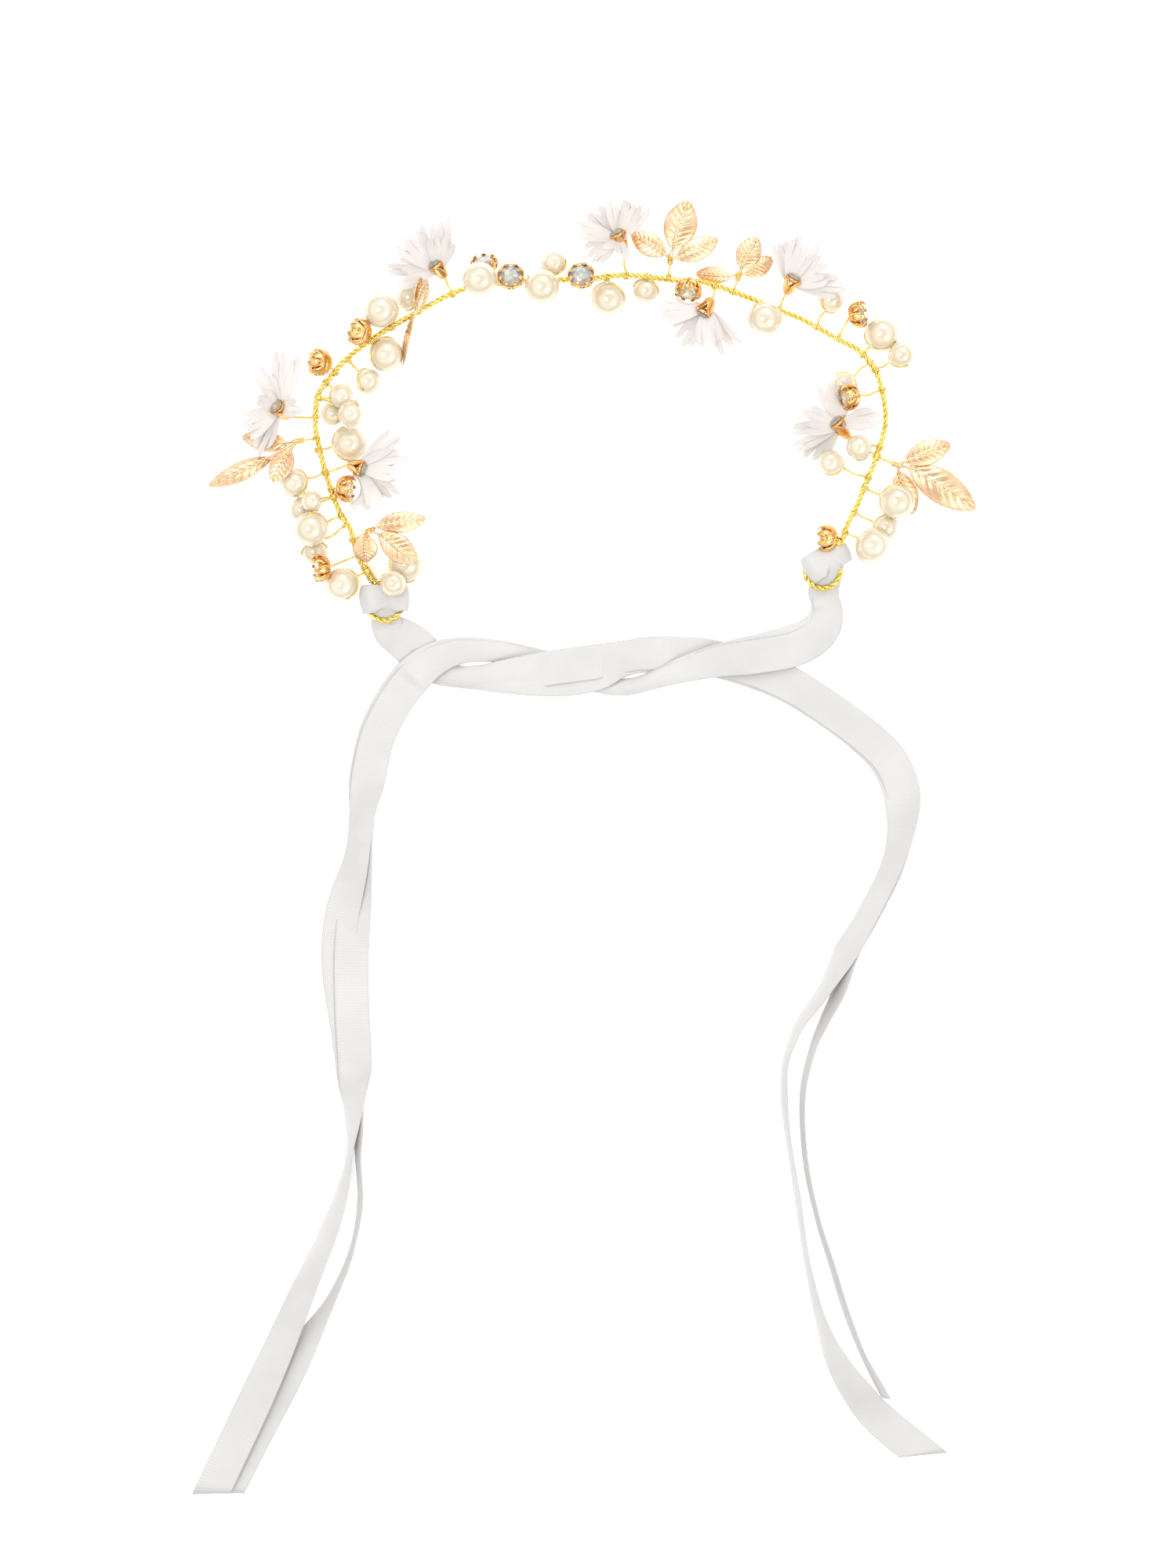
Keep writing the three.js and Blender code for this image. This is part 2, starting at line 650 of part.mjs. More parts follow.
// A flat ribbon lofted through stations.
function strap(stations, thickness) {
  const places = stations.map(([x, y, lift]) => new THREE.Vector3(x, y, lift));
  const curve = new THREE.CatmullRomCurve3(places);
  const count = 2 * (stations.length - 1);
  const positions = [];
  for (let i = 0; i <= count; i++) {
    const t = i / count;
    const before = Math.min(Math.floor(i / 2), stations.length - 2);
    const share = i / 2 - before;
    const width = THREE.MathUtils.lerp(stations[before][3], stations[before + 1][3], share);
    const degrees = THREE.MathUtils.lerp(stations[before][4], stations[before + 1][4], share);
    const tilt = THREE.MathUtils.degToRad(degrees);
    const middle = curve.getPoint(t);
    const halfHeight = (width * Math.abs(Math.sin(tilt)) + thickness * Math.cos(tilt)) / 2;
    middle.z = Math.max(0, middle.z) + halfHeight;
    const along = curve.getTangent(t).setZ(0).normalize();
    const side = new THREE.Vector3(-along.y, along.x, 0);
    side.applyAxisAngle(along, tilt).multiplyScalar(width / 2);
    const up = new THREE.Vector3().crossVectors(along, side).setLength(thickness / 2);
    for (const [across, above] of [[-1, -1], [1, -1], [1, 1], [-1, 1]]) {
      const corner = middle.clone().addScaledVector(side, across).addScaledVector(up, above);
      positions.push(...corner.toArray());
    }
  }
  const faces = [0, 2, 1, 0, 3, 2];
  for (let i = 0; i < count; i++) {
    for (let k = 0; k < 4; k++) {
      const a = 4 * i + k;
      const b = 4 * i + ((k + 1) % 4);
      faces.push(a, b, b + 4, a, b + 4, a + 4);
    }
  }
  const last = 4 * count;
  faces.push(last, last + 1, last + 2, last, last + 2, last + 3);
  const geometry = new THREE.BufferGeometry();
  geometry.setAttribute("position", new THREE.Float32BufferAttribute(positions, 3));
  geometry.setIndex(faces);
  return solidOf(geometry);
}

// The short band of ribbon that wraps a ring's rim and swings on it.
function loop(pivot) {
  const inner = LOOP_INNER_RADIUS;
  const outer = LOOP_INNER_RADIUS + 0.6;
  const half = LOOP_WIDTH / 2;
  const profile = [[inner, -half], [outer, -half], [outer, half], [inner, half], [inner, -half]];
  const wall = new THREE.LatheGeometry(profile.map(([r, h]) => new THREE.Vector2(r, h)), 16);
  const axis = vector(RIGHT_PIVOT).sub(vector(LEFT_PIVOT)).normalize();
  return solidOf(aimed(wall, vector(pivot), axis));
}

function addRibbon(name, pivot, doubled, tails) {
  const parts = [loop(pivot), strap(doubled, RIBBON_THICKNESS)];
  for (const tail of tails) {
    parts.push(strap(tail, 0.75 * RIBBON_THICKNESS));
  }
  addNode(name, largestBody(joined(parts)), MATERIALS.ribbon);
}

addBand();
addPearls();
addRhinestones();
const keepouts = firmKeepouts();
addSprigs([...keepouts, ...addFlowers(keepouts)]);
addRibbon("left_ribbon", LEFT_PIVOT, LEFT_STRAP, LEFT_TAILS);
addRibbon("right_ribbon", RIGHT_PIVOT, RIGHT_STRAP, RIGHT_TAILS);

export default crown;
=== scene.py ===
"""A flower crown: twisted gold wire, pearl beads, claw-set rhinestones, silk flowers, pressed leaf sprigs
and satin ribbon. It lies on a table with its front towards +Y. Its sizes and places are in millimetres."""
import math
from typing import NamedTuple

import bpy
import numpy as np
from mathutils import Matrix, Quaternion, Vector


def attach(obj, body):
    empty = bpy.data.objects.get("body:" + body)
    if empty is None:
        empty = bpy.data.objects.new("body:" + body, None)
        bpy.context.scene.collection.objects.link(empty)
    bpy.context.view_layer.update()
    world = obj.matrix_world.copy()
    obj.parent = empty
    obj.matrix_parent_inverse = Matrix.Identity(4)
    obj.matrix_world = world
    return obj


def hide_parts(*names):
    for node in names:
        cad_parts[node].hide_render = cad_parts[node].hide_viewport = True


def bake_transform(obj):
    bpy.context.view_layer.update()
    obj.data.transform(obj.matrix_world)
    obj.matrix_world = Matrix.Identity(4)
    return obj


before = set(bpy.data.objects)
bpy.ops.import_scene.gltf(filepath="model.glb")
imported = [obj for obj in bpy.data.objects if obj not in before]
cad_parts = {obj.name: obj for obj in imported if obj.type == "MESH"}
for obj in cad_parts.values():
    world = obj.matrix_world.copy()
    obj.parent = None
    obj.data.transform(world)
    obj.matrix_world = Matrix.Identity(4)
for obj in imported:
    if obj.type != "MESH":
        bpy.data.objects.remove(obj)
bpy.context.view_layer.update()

MM = 0.001
BAND_RADIUS = 0.9
BAND_HEIGHT = 7.0
RING_RADIUS = 5.1
RING_HEIGHT = 5.0
NECK_WIRE_RADIUS = 0.22
STEM_WIRE_RADIUS = 0.18
BINDING_WIRE_RADIUS = 0.2
BEAD_WIRE_RADIUS = 0.17
BEAD_HOLE_RADIUS = 0.42
LARGE, MEDIUM, SMALL = 10.0, 8.2, 7.4
STONE_RADIUS = 3.45
CUP_DEPTH = 3.2
CLAWS = 8
HEART_STONE_RADIUS = 2.15
SEPALS = 4
PETAL_THICKNESS = 0.16
PETAL_FILL = 0.64
LEAF_THICKNESS = 0.35
LEAF_VEINS = 8
RIBBON_WIDTH = 10.0
RIBBON_THICKNESS = 0.22
RIBBON_CLEARANCE = 0.5
RIBBON_CUT_REACH = 12.0
LAYER_GAP = 0.4

# Centre line of the band, from the left ring round the front to the right ring. Its ends come down to the
# rings, and the rest is level.
BAND_PLAN = [
    (-59.9, 75.4), (-63.3, 81), (-67.6, 90.3), (-71, 98.1), (-74.4, 107.2), (-76.9, 115.3),
    (-77.6, 122.4), (-77, 129.5), (-74.4, 134.6), (-64.4, 144), (-51.5, 153), (-35.3, 160.8),
    (-21, 163), (0, 164.4), (12, 165.1), (22.4, 164.7), (34.9, 162.9), (49, 158.3), (62.2, 152.6),
    (74.4, 146.5), (81.5, 141.2), (84.9, 135.8), (86.7, 128.1), (86.3, 119.5), (83.1, 109.9),
    (80.1, 102.4), (76.2, 93.5), (73.4, 88), (71.35, 84.5),
]
BAND_SLOPE = [RING_HEIGHT, 6.0]
BAND_LEVELS = BAND_SLOPE + [BAND_HEIGHT] * (len(BAND_PLAN) - 4) + BAND_SLOPE[::-1]
BAND_ROUTE = [(x, y, z) for (x, y), z in zip(BAND_PLAN, BAND_LEVELS)]
LEFT_RING = (-57.7, 70.8, RING_HEIGHT)
RIGHT_RING = (68.8, 80.1, RING_HEIGHT)
LEFT_PIVOT = (-57.3, 66.2, RING_HEIGHT)
RIGHT_PIVOT = (69.2, 75.5, RING_HEIGHT)

# Beads that share one wire, each as (x, y, z, diameter).
PEARLS = {
    "pearl_01": [(-30.1, 163.5, 13.3, LARGE)],
    "pearl_02": [(-12.2, 161.5, 13.2, LARGE)],
    "pearl_03": [(-8.8, 169, 5, SMALL)],
    "pearl_04": [(6.9, 158.5, 5, LARGE)],
    "pearl_05": [(17.8, 161.2, 4, SMALL)],
    "pearl_06": [(51.9, 152.2, 12, LARGE)],
    "pearl_07": [(71.2, 158.5, 4, SMALL)],
    "pearl_08": [(86, 148.5, 5, LARGE)],
    "pearl_09": [(91.5, 142.2, 8, SMALL)],
    "pearl_10": [(74.9, 133.8, 4, SMALL)],
    "pearl_11": [(79, 115.5, 10, SMALL)],
    "pearl_12": [(70.8, 111.2, 8, SMALL)],
    "pearl_13": [(90.3, 99.9, 7.6, LARGE)],
    "pearl_14": [(87.2, 92.6, 3.7, SMALL)],
    "pearl_15": [(83.1, 87.2, 10.4, LARGE)],
    "pearl_16": [(-67.8, 116.9, 5, LARGE)],
    "pearl_17": [(-62.6, 134.9, 4, SMALL)],
    "pearl_18": [(-57.3, 142.5, 5, LARGE)],
    "pearl_19": [(-58.8, 155, 9.6, LARGE)],
    "pearl_20": [(-50.6, 159.2, 3.7, SMALL)],
    "pearl_21": [(-84, 105.4, 4.2, MEDIUM)],
    "pearl_22": [(-70.3, 76, 5, LARGE)],
    "pearl_trio": [(-70, 130.2, 7.6, 6.8), (-72.9, 125.6, 3.5, 6.8), (-67.2, 125, 11.7, SMALL)],
    "pearl_pair_1": [(-82, 97.6, 3.6, 7), (-78.6, 100, 9, 6)],
    "pearl_pair_2": [(-79, 91.9, 9.7, LARGE), (-78.1, 85.6, 3.7, SMALL)],
    "pearl_pair_3": [(-51.5, 81.9, 5, LARGE), (-55.1, 76.2, 10.5, SMALL)],
}

# Rhinestones as centre, the way each faces, and whether the stone is milky.
RHINESTONES = [
    ((-76.2, 140, 9), (-0.75, 0.1, -0.6), False),
    ((-64.7, 148.6, 10.8), (-0.8, 0.3, -0.5), False),
    ((-29, 168.6, 4.3), (-0.1, 0.8, 0.5), True),
    ((-21.2, 164.4, 11), (-0.05, 0.36, 0.93), True),
    ((-1, 164.6, 11), (0, 0.4, 0.9), True),
    ((29.9, 160.8, 11), (-0.15, -0.85, 0.4), False),
    ((79, 154, 8), (0.95, 0.1, 0.15), True),
    ((76.2, 129.9, 11.4), (-0.8, -0.2, 0.2), False),
    ((70, 89.4, 7), (-0.88, 0, -0.35), False),
    ((-68.6, 103.6, 10.5), (0.88, -0.12, 0.1), False),
    ((-76, 80.8, 10), (-0.95, -0.1, 0.1), False),
]

# Flowers as the back of the sepal cup, the middle of the whorl, and each petal's tip and width.
FLOWERS = [
    ((-85.8, 124.4, 6), (-88.1, 126.5, 9.2), [
        ((-84, 146, 13), 8.5), ((-94, 140, 14), 6), ((-94.2, 131.5, 17), 6), ((-100.3, 119.4, 12), 8),
        ((-96, 113.5, 5), 8), ((-80.5, 126.5, 14), 6)]),
    ((-68.1, 110.6, 10), (-65.2, 109.6, 10.8), [
        ((-51.5, 120.3, 15), 6), ((-54.6, 115.5, 4), 8), ((-49.4, 109.9, 14), 10), ((-53, 101.3, 6), 8),
        ((-61.5, 95, 10), 9)]),
    ((-40.2, 164.7, 8), (-42.2, 167.2, 9.2), [
        ((-43.2, 184, 9), 9), ((-54, 177.6, 14), 9), ((-57.8, 170.1, 5), 8), ((-56.4, 162.7, 12), 7),
        ((-40.8, 177.5, 18), 9)]),
    ((11.9, 172, 8), (9.9, 175.8, 9.2), [
        ((9.9, 188.5, 10), 8.5), ((17.6, 187.6, 13), 8), ((-0.3, 184.2, 6), 9.5), ((-6.2, 179.4, 14), 6),
        ((-0.8, 169, 9), 8), ((8.5, 169.5, 18), 7)]),
    ((36.7, 158.3, 10.5), (34.9, 155.3, 10.5), [
        ((18.1, 154, 13), 8), ((26, 144.4, 8), 9), ((35.8, 142, 14), 8.5), ((44.4, 140.8, 8), 7),
        ((30.6, 145.8, 2), 8)]),
    ((58.1, 159.9, 8), (59.7, 163, 9.2), [
        ((56.7, 178.1, 9), 9), ((64.2, 177.6, 15), 9), ((71.9, 167.4, 14), 9), ((77, 161.3, 10), 8),
        ((66, 171, 3), 8)]),
    ((76.5, 118.5, 5), (73.5, 121.9, 6.5), [
        ((70.6, 136.7, 10), 9), ((60.6, 124.2, 12), 8.5), ((57.8, 117.8, 6), 8), ((62.8, 111.7, 2), 9),
        ((86.9, 125.3, 13), 7)]),
]

# Leaf sprigs as the fold, and each leaf's foot, tip, width and turn about its own length.
SPRIGS = [
    ((-83, 117.5, 7), [
        ((-90.8, 112.6, 5), (-108.5, 104.7, 4), 5.5, 0), ((-84.9, 114.7, 8), (-89.9, 105.6, 10), 6.5, 0),
        ((-86, 116.5, 4), (-99, 119, 2), 6, 0)]),
    ((-61.5, 91.5, 12.5), [
        ((-59.7, 92.8, 12), (-45.8, 94.9, 10), 6, 0), ((-58.7, 90.3, 12.5), (-48.3, 82.2, 12.5), 7.5, 0),
        ((-63.2, 90.2, 12), (-63.1, 82.4, 9.5), 7, 0)]),
    ((-48.2, 155.5, 10), [
        ((-48, 157, 11), (-47.2, 164, 14), 7, 75), ((-49.4, 153, 9), (-52.4, 139.7, 5), 7, 80),
        ((-47.5, 154.5, 12), (-45.4, 163, 16), 5, 60)]),
    ((24.8, 170.5, 5), [
        ((25.6, 173.5, 5), (29.9, 187, 4), 9.5, 0), ((26.8, 170.4, 5), (38.5, 176, 3), 6.5, 0),
        ((23.1, 171.5, 5), (13.7, 177.6, 4), 6.5, 0)]),
    ((44.7, 165.8, 5), [
        ((45.1, 167.6, 5), (49.9, 176.5, 4), 7, 0), ((42.2, 165.1, 5), (32.4, 166.2, 2.5), 5, 0),
        ((46.7, 165.4, 5), (54.4, 170.8, 2.5), 5.5, 0)]),
    ((90.5, 110.5, 7), [
        ((92.6, 111.7, 7), (105.6, 116.7, 5), 7, 0), ((94, 110.2, 6), (112.8, 98.1, 4), 9.5, 0),
        ((90.4, 108.5, 5), (95.3, 96.9, 1), 7, 0)]),
]

# The ribbon's path over an end ring, from behind the neck to behind the lower rim, in the ring's own
# frame: (x, y, z, width) and the way its face looks. The other half is this one mirrored.
HITCH = [
    ((0, 1.6, -2.1, 7.6), (0, 0, -1)),
    ((-3.8, 1.4, -2.1, 7.6), (-0.25, 0, -1)),
    ((-6.4, 1.3, -0.2, 8), (-1, 0, 0)),
    ((-4.8, 1.4, 1.7, 8.2), (-0.35, 0, 1)),
    ((-1.8, 1.2, 2.1, 8), (0, 0, 1)),
    ((0.4, -0.3, 1.6, 7.2), (0.1, -0.3, 1)),
    ((0.8, -2.5, -0.2, 6.0), (0, -0.8, 0.6)),
    ((0.9, -5.4, -1.9, 7.0), (0, -0.2, 1)),
]

# Ribbon stations as (x, y, lift, width, tilt, splay): lift is the underside's height over the table, tilt
# is in degrees, 0 lying flat, and splay is how far the two layers lie apart sideways. Cuts are the slopes
# of a ribbon's two ends.
LEFT_STRAP = [
    (-56.4, 62.8, 2.4, 7.4, 0, 2.2), (-52.8, 60.6, 1.4, 8, 0, 3.4), (-48.8, 57.6, 0.6, 8.6, 0, 3.6),
    (-45, 54, 0.2, 8.6, 0, 2.4), (-41, 51.2, 0, 7.4, 0, 1.2), (-36.9, 49.6, 0, 5.8, 0, 0.6),
    (-30.3, 49.3, 0.7, 6.2, 0, 1), (-23.4, 49.6, 1.6, 8, 0, 1.6), (-13.8, 50.2, 2.2, 9.8, 0, 2.6),
    (-4.7, 50.9, 2.4, 10, 0, 3.8), (3.4, 52.3, 2.2, 10, 0, 3.2), (8.6, 54.1, 1.4, 9.4, 0, 1.6),
    (13, 55.2, 0.8, 9.2, 0, 0.8), (18.1, 56, 0.2, 9.6, 0, 0.6), (26.5, 56, 0, 10, 0, 0.4),
    (36.3, 55.1, 0, 10, 0, 0.6), (48.8, 51.6, 0, 10, 0, 0.8), (60.1, 46.8, 0, 10, 0, 0.6),
    (71.5, 39.6, 0, 10, 0, 0.4), (80.6, 32.8, 0, 10, 0, 0.6), (87.8, 25.6, 0, 10, 0, 1),
    (91.8, 16.2, 0, 10, 14, 1), (91.6, 5.4, 0, 10, 42, 0.6), (88.2, -7, 0, 10, 54, 0),
    (81.4, -20.4, 0, 10, 54, 0), (75.8, -30, 0, 10, 50, 0),
]
LEFT_TAILS = [
    [(69.6, -41, 0, 9, 66, 0), (62.4, -51, 0, 7.5, 72, 0), (58.4, -62, 0, 6, 74, 0),
     (58, -72, 0, 5.6, 76, 0), (58.8, -81, 0, 5.6, 78, 0), (61.9, -101.5, 0, 5.6, 78, 0),
     (64.7, -120, 0, 6, 78, 0), (68.6, -137, 0, 7.5, 66, 0), (74, -150, 0, 9, 42, 0),
     (80.8, -160, 0.6, 10, 24, 0), (87, -166.6, 1, 10, 8, 0), (98.1, -175.8, 1.2, 10, 0, 0)],
    [(73.4, -41, 0, 9, 66, 0), (69.2, -50, 0, 7.5, 68, 0), (65.8, -58.4, 0, 6, 72, 0),
     (63, -72, 0, 5.6, 76, 0), (64, -91, 0, 5.6, 80, 0), (67.5, -107.6, 0, 5.6, 80, 0),
     (71.3, -120.1, 0, 6, 78, 0), (75.6, -134.2, 0, 7, 78, 0), (80.6, -146.8, 0, 7.5, 78, 0),
     (86.8, -158.6, 0, 8, 78, 0)],
]
LEFT_CUTS = (1.0, 0.2)
RIGHT_STRAP = [
    (69.6, 71.6, 2.4, 7.8, 0, 0.6), (70.1, 68.6, 2.2, 8.4, 0, 0.8), (69.1, 64.6, 2, 9.4, 0, 1.2),
    (65.6, 60.8, 1.8, 9.8, 0, 1.6), (59.2, 58.2, 1.7, 10, 0, 2.2), (48.8, 55.9, 1.7, 10, 0, 1.2),
    (39, 54.3, 1.7, 9, 0, 0.6), (30.6, 52.2, 1.5, 7.4, 0, 0.5), (23.8, 50, 0.9, 5.8, 0, 0.4),
    (18.1, 48, 0.3, 4.6, 0, 0.4), (13, 46.7, 0, 4.4, 0, 0.4), (8, 46.7, 0, 4.6, 0, 0.4),
    (4.4, 47.6, 0, 5, 0, 0.4), (-2.4, 49.9, 0, 7, 0, 0.6), (-10.3, 52.6, 0, 7.6, 0, 0.6),
    (-17.2, 55, 0, 6.6, 0, 0.5), (-24, 56.8, 0.1, 5.8, 0, 0.6), (-30.3, 57.4, 0.7, 6.2, 0, 0.6),
    (-36.9, 57, 1.5, 7, 0, 0.8), (-44.4, 54.2, 1.9, 8.8, 0, 1.2), (-50.8, 48.5, 1.7, 10, 0, 1.2),
    (-56, 41.3, 0.8, 10, 0, 1), (-60.3, 32.2, 0.1, 10, 0, 0.8), (-62.6, 21.9, 0, 10, 0, 0.6),
    (-64.2, 9.4, 0, 10, 42, 0.6), (-65.6, -4.2, 0, 10, 40, 1.4), (-68.6, -20, 0, 10, 8, 3.6),
    (-69.4, -34, 0, 10, 0, 3.6), (-68.1, -50, 0, 10, 0, 1.8), (-66.9, -62, 0, 10, 6, 0.8),
    (-66.7, -72, 0, 10, 44, 0.4),
]
RIGHT_TAILS = [
    [(-67, -80, 0, 9, 60, 0), (-67.8, -89, 0, 6.5, 70, 0), (-70.4, -101, 0.1, 7, 58, 0),
     (-75, -114, 0, 9, 50, 0), (-81, -127.5, 0.3, 10, 44, 0), (-89.3, -146.9, 0.9, 10, 26, 0),
     (-97.2, -164, 1.2, 10, 8, 0), (-108.1, -187, 1.4, 10, 0, 0)],
    [(-65.8, -80, 0, 9, 64, 0), (-65.6, -89, 0, 6.5, 72, 0), (-65, -103, 0, 5.6, 74, 0),
     (-67.6, -117, 0, 5.6, 74, 0), (-74, -131.7, 0, 7, 66, 0), (-83, -147, 0, 9.5, 30, 0),
     (-92, -163.4, 0, 10, 0, 0), (-104.2, -187, 0, 10, 0, 0)],
]
RIGHT_CUTS = (-0.5, -0.5)


# ---- Finishes ----------------------------------------------------------------------------------------


def add_sockets(tree, outputs, inputs):
    """A tree's outputs as name and type, and its inputs as name, type and the value they start with."""
    for name, kind in outputs.items():
        tree.interface.new_socket(name, in_out="OUTPUT", socket_type=f"NodeSocket{kind}")
    for name, (kind, value) in inputs.items():
        made = tree.interface.new_socket(name, in_out="INPUT", socket_type=f"NodeSocket{kind}")
        if value is not None:
            made.default_value = value


def add_node(tree, kind, values=None, **settings):
    node = tree.nodes.new(kind)
    for key, value in settings.items():
        setattr(node, key, value)
    for key, value in (values or {}).items():
        node.inputs[key].default_value = value
    return node


def add_links(tree, *rows):
    """Links, each as a node, its output, the next node and the input of that one."""
    for source, output, target, entry in rows:
        tree.links.new(source.outputs[output], target.inputs[entry])


def mottle_group():
    """Slow colour change and fine unevenness of metal, nacre, glass or cloth, on object coordinates. On the
    clear stones and their foil, its pale yellow patches are painted glints.
    """
    tree = bpy.data.node_groups.new("Mottle", "ShaderNodeTree")
    add_sockets(
        tree,
        {"Color": "Color", "Roughness": "Float", "Height": "Float"},
        {
            "Light": ("Color", None), "Dark": ("Color", None), "Patch scale": ("Float", 300.0),
            "Grain scale": ("Float", 3000.0), "Smooth": ("Float", 0.2), "Rough": ("Float", 0.35),
        },
    )
    given = add_node(tree, "NodeGroupInput")
    result = add_node(tree, "NodeGroupOutput")
    place = add_node(tree, "ShaderNodeTexCoord")
    patches = add_node(tree, "ShaderNodeTexNoise", {"Detail": 2.0})
    grain = add_node(tree, "ShaderNodeTexNoise", {"Detail": 3.0})
    share = add_node(tree, "ShaderNodeMapRange", {"From Min": 0.35, "From Max": 0.65})
    tone = add_node(tree, "ShaderNodeMix", data_type="RGBA")
    gloss = add_node(tree, "ShaderNodeMapRange", {"From Min": 0.3, "From Max": 0.7})
    add_links(
        tree,
        (place, "Object", patches, "Vector"),
        (place, "Object", grain, "Vector"),
        (given, "Patch scale", patches, "Scale"),
        (given, "Grain scale", grain, "Scale"),
        (patches, "Fac", share, "Value"),
        (share, "Result", tone, "Factor"),
        (given, "Dark", tone, "A"),
        (given, "Light", tone, "B"),
        (grain, "Fac", gloss, "Value"),
        (given, "Smooth", gloss, "To Min"),
        (given, "Rough", gloss, "To Max"),
        (tone, "Result", result, "Color"),
        (gloss, "Result", result, "Roughness"),
        (grain, "Fac", result, "Height"),
    )
    return tree


def weave_group():
    """Cross ribs and lengthwise threads of woven cloth, and the firmer ribs of its selvedge. One unit of
    its unrolled coordinates is ten millimetres."""
    tree = bpy.data.node_groups.new("Weave", "ShaderNodeTree")
    add_sockets(
        tree,
        {"Height": "Float"},
        {"Ribs": ("Float", 20.0), "Threads": ("Float", 30.0), "Selvedge": ("Float", 0.4)},
    )
    given = add_node(tree, "NodeGroupInput")
    result = add_node(tree, "NodeGroupOutput")
    place = add_node(tree, "ShaderNodeTexCoord")
    apart = add_node(tree, "ShaderNodeSeparateXYZ")
    add_links(tree, (place, "UV", apart, "Vector"))
    waves = []
    for axis, count in (("X", "Ribs"), ("Y", "Threads")):
        turns = add_node(tree, "ShaderNodeMath", operation="MULTIPLY")
        around = add_node(tree, "ShaderNodeMath", {1: math.tau}, operation="MULTIPLY")
        wave = add_node(tree, "ShaderNodeMath", operation="SINE")
        add_links(
            tree,
            (apart, axis, turns, 0),
            (given, count, turns, 1),
            (turns, 0, around, 0),
            (around, 0, wave, 0),
        )
        waves.append(wave)
    rib_wave, thread_wave = waves
    middle = add_node(tree, "ShaderNodeMath", operation="ABSOLUTE")
    border = add_node(tree, "ShaderNodeMath", operation="GREATER_THAN")
    firm = add_node(tree, "ShaderNodeMath", {1: 5.0, 2: 1.0}, operation="MULTIPLY_ADD")
    ribs = add_node(tree, "ShaderNodeMath", operation="MULTIPLY")
    total = add_node(tree, "ShaderNodeMath", operation="ADD")
    add_links(
        tree,
        (apart, "Y", middle, 0),
        (middle, 0, border, 0),
        (given, "Selvedge", border, 1),
        (border, 0, firm, 0),
        (rib_wave, 0, ribs, 0),
        (firm, 0, ribs, 1),
        (ribs, 0, total, 0),
        (thread_wave, 0, total, 1),
        (total, 0, result, "Height"),
    )
    return tree


MOTTLE = mottle_group()
WEAVE = weave_group()


def finish_of(name, light, dark, smooth, rough, patch, grain, bump, weave=None, **shader_values):
    """A material whose colour, gloss and bump come from the mottle group, and on cloth from its weave too."""
    made = bpy.data.materials.new(name)
    made.use_nodes = True
    tree = made.node_tree
    shader = tree.nodes["Principled BSDF"]
    for key, value in shader_values.items():
        shader.inputs[key.replace("_", " ")].default_value = value
    tones = {"Light": (*light, 1), "Dark": (*dark, 1), "Smooth": smooth, "Rough": rough}
    scales = {"Patch scale": patch, "Grain scale": grain}
    mottle = add_node(tree, "ShaderNodeGroup", {**tones, **scales}, node_tree=MOTTLE)
    relief = add_node(tree, "ShaderNodeBump", {"Strength": bump, "Distance": 0.0001})
    source, output = mottle, "Height"
    if weave:
        counts = dict(zip(("Ribs", "Threads", "Selvedge"), weave))
        cloth = add_node(tree, "ShaderNodeGroup", counts, node_tree=WEAVE)
        source, output = add_node(tree, "ShaderNodeMath", operation="ADD"), 0
        add_links(tree, (cloth, "Height", source, 0), (mottle, "Height", source, 1))
    add_links(
        tree,
        (source, output, relief, "Height"),
        (relief, "Normal", shader, "Normal"),
        (mottle, "Color", shader, "Base Color"),
        (mottle, "Roughness", shader, "Roughness"),
    )
    return made


WIRE_GOLD = finish_of(
    "wire gold", (0.95, 0.79, 0.28), (0.82, 0.6, 0.14), 0.16, 0.3, 500, 6000, 0.15, Metallic=1.0
)
CUP_GOLD = finish_of(
    "cup gold", (0.98, 0.62, 0.28), (0.82, 0.4, 0.11), 0.06, 0.16, 350, 2500, 0.1, Metallic=1.0
)
LEAF_GOLD = finish_of(
    "leaf gold", (0.89, 0.66, 0.43), (0.8, 0.5, 0.28), 0.17, 0.32, 260, 4500, 0.3, Metallic=1.0
)
PEARL = finish_of(
    "pearl", (0.8, 0.72, 0.575), (0.73, 0.64, 0.48), 0.13, 0.22, 160, 1500, 0.04,
    Metallic=0.24, Coat_Weight=0.4, Coat_Roughness=0.1,
)
# The clear stone's white to pale yellow colour patches are painted yellow glints, not a tint of the glass.
CLEAR_STONE_PAINTED_GLINTS = finish_of(
    "clear stone with painted glints", (1.0, 1.0, 1.0), (1.0, 0.93, 0.72), 0.0, 0.03, 900, 900, 0.01,
    Transmission_Weight=0.9, IOR=1.62,
)
MILKY_STONE = finish_of(
    "milky stone", (0.74, 0.71, 0.58), (0.34, 0.38, 0.41), 0.04, 0.1, 800, 1200, 0.02,
    Transmission_Weight=0.3, IOR=1.5, Coat_Weight=0.6, Coat_Roughness=0.03,
)
# The foil's near-white is its own mirror colour; its pale yellow patches are painted yellow glints.
FOIL_PAINTED_GLINTS = finish_of(
    "foil", (0.99, 0.98, 0.94), (0.88, 0.74, 0.44), 0.2, 0.36, 900, 2000, 0.05, Metallic=1.0
)
PETAL_SILK = finish_of(
    "petal silk", (0.8, 0.755, 0.725), (0.75, 0.7, 0.66), 0.62, 0.8, 120, 2600, 0.1, weave=(70, 70, 9),
    Alpha=0.84, Sheen_Weight=0.3, Sheen_Roughness=0.4,
)
SATIN = finish_of(
    "satin", (0.62, 0.605, 0.59), (0.58, 0.565, 0.55), 0.3, 0.46, 60, 2200, 0.16, weave=(12, 40, 0.42),
    Sheen_Weight=0.25, Sheen_Roughness=0.35,
)


# ---- Shapes ------------------------------------------------------------------------------------------


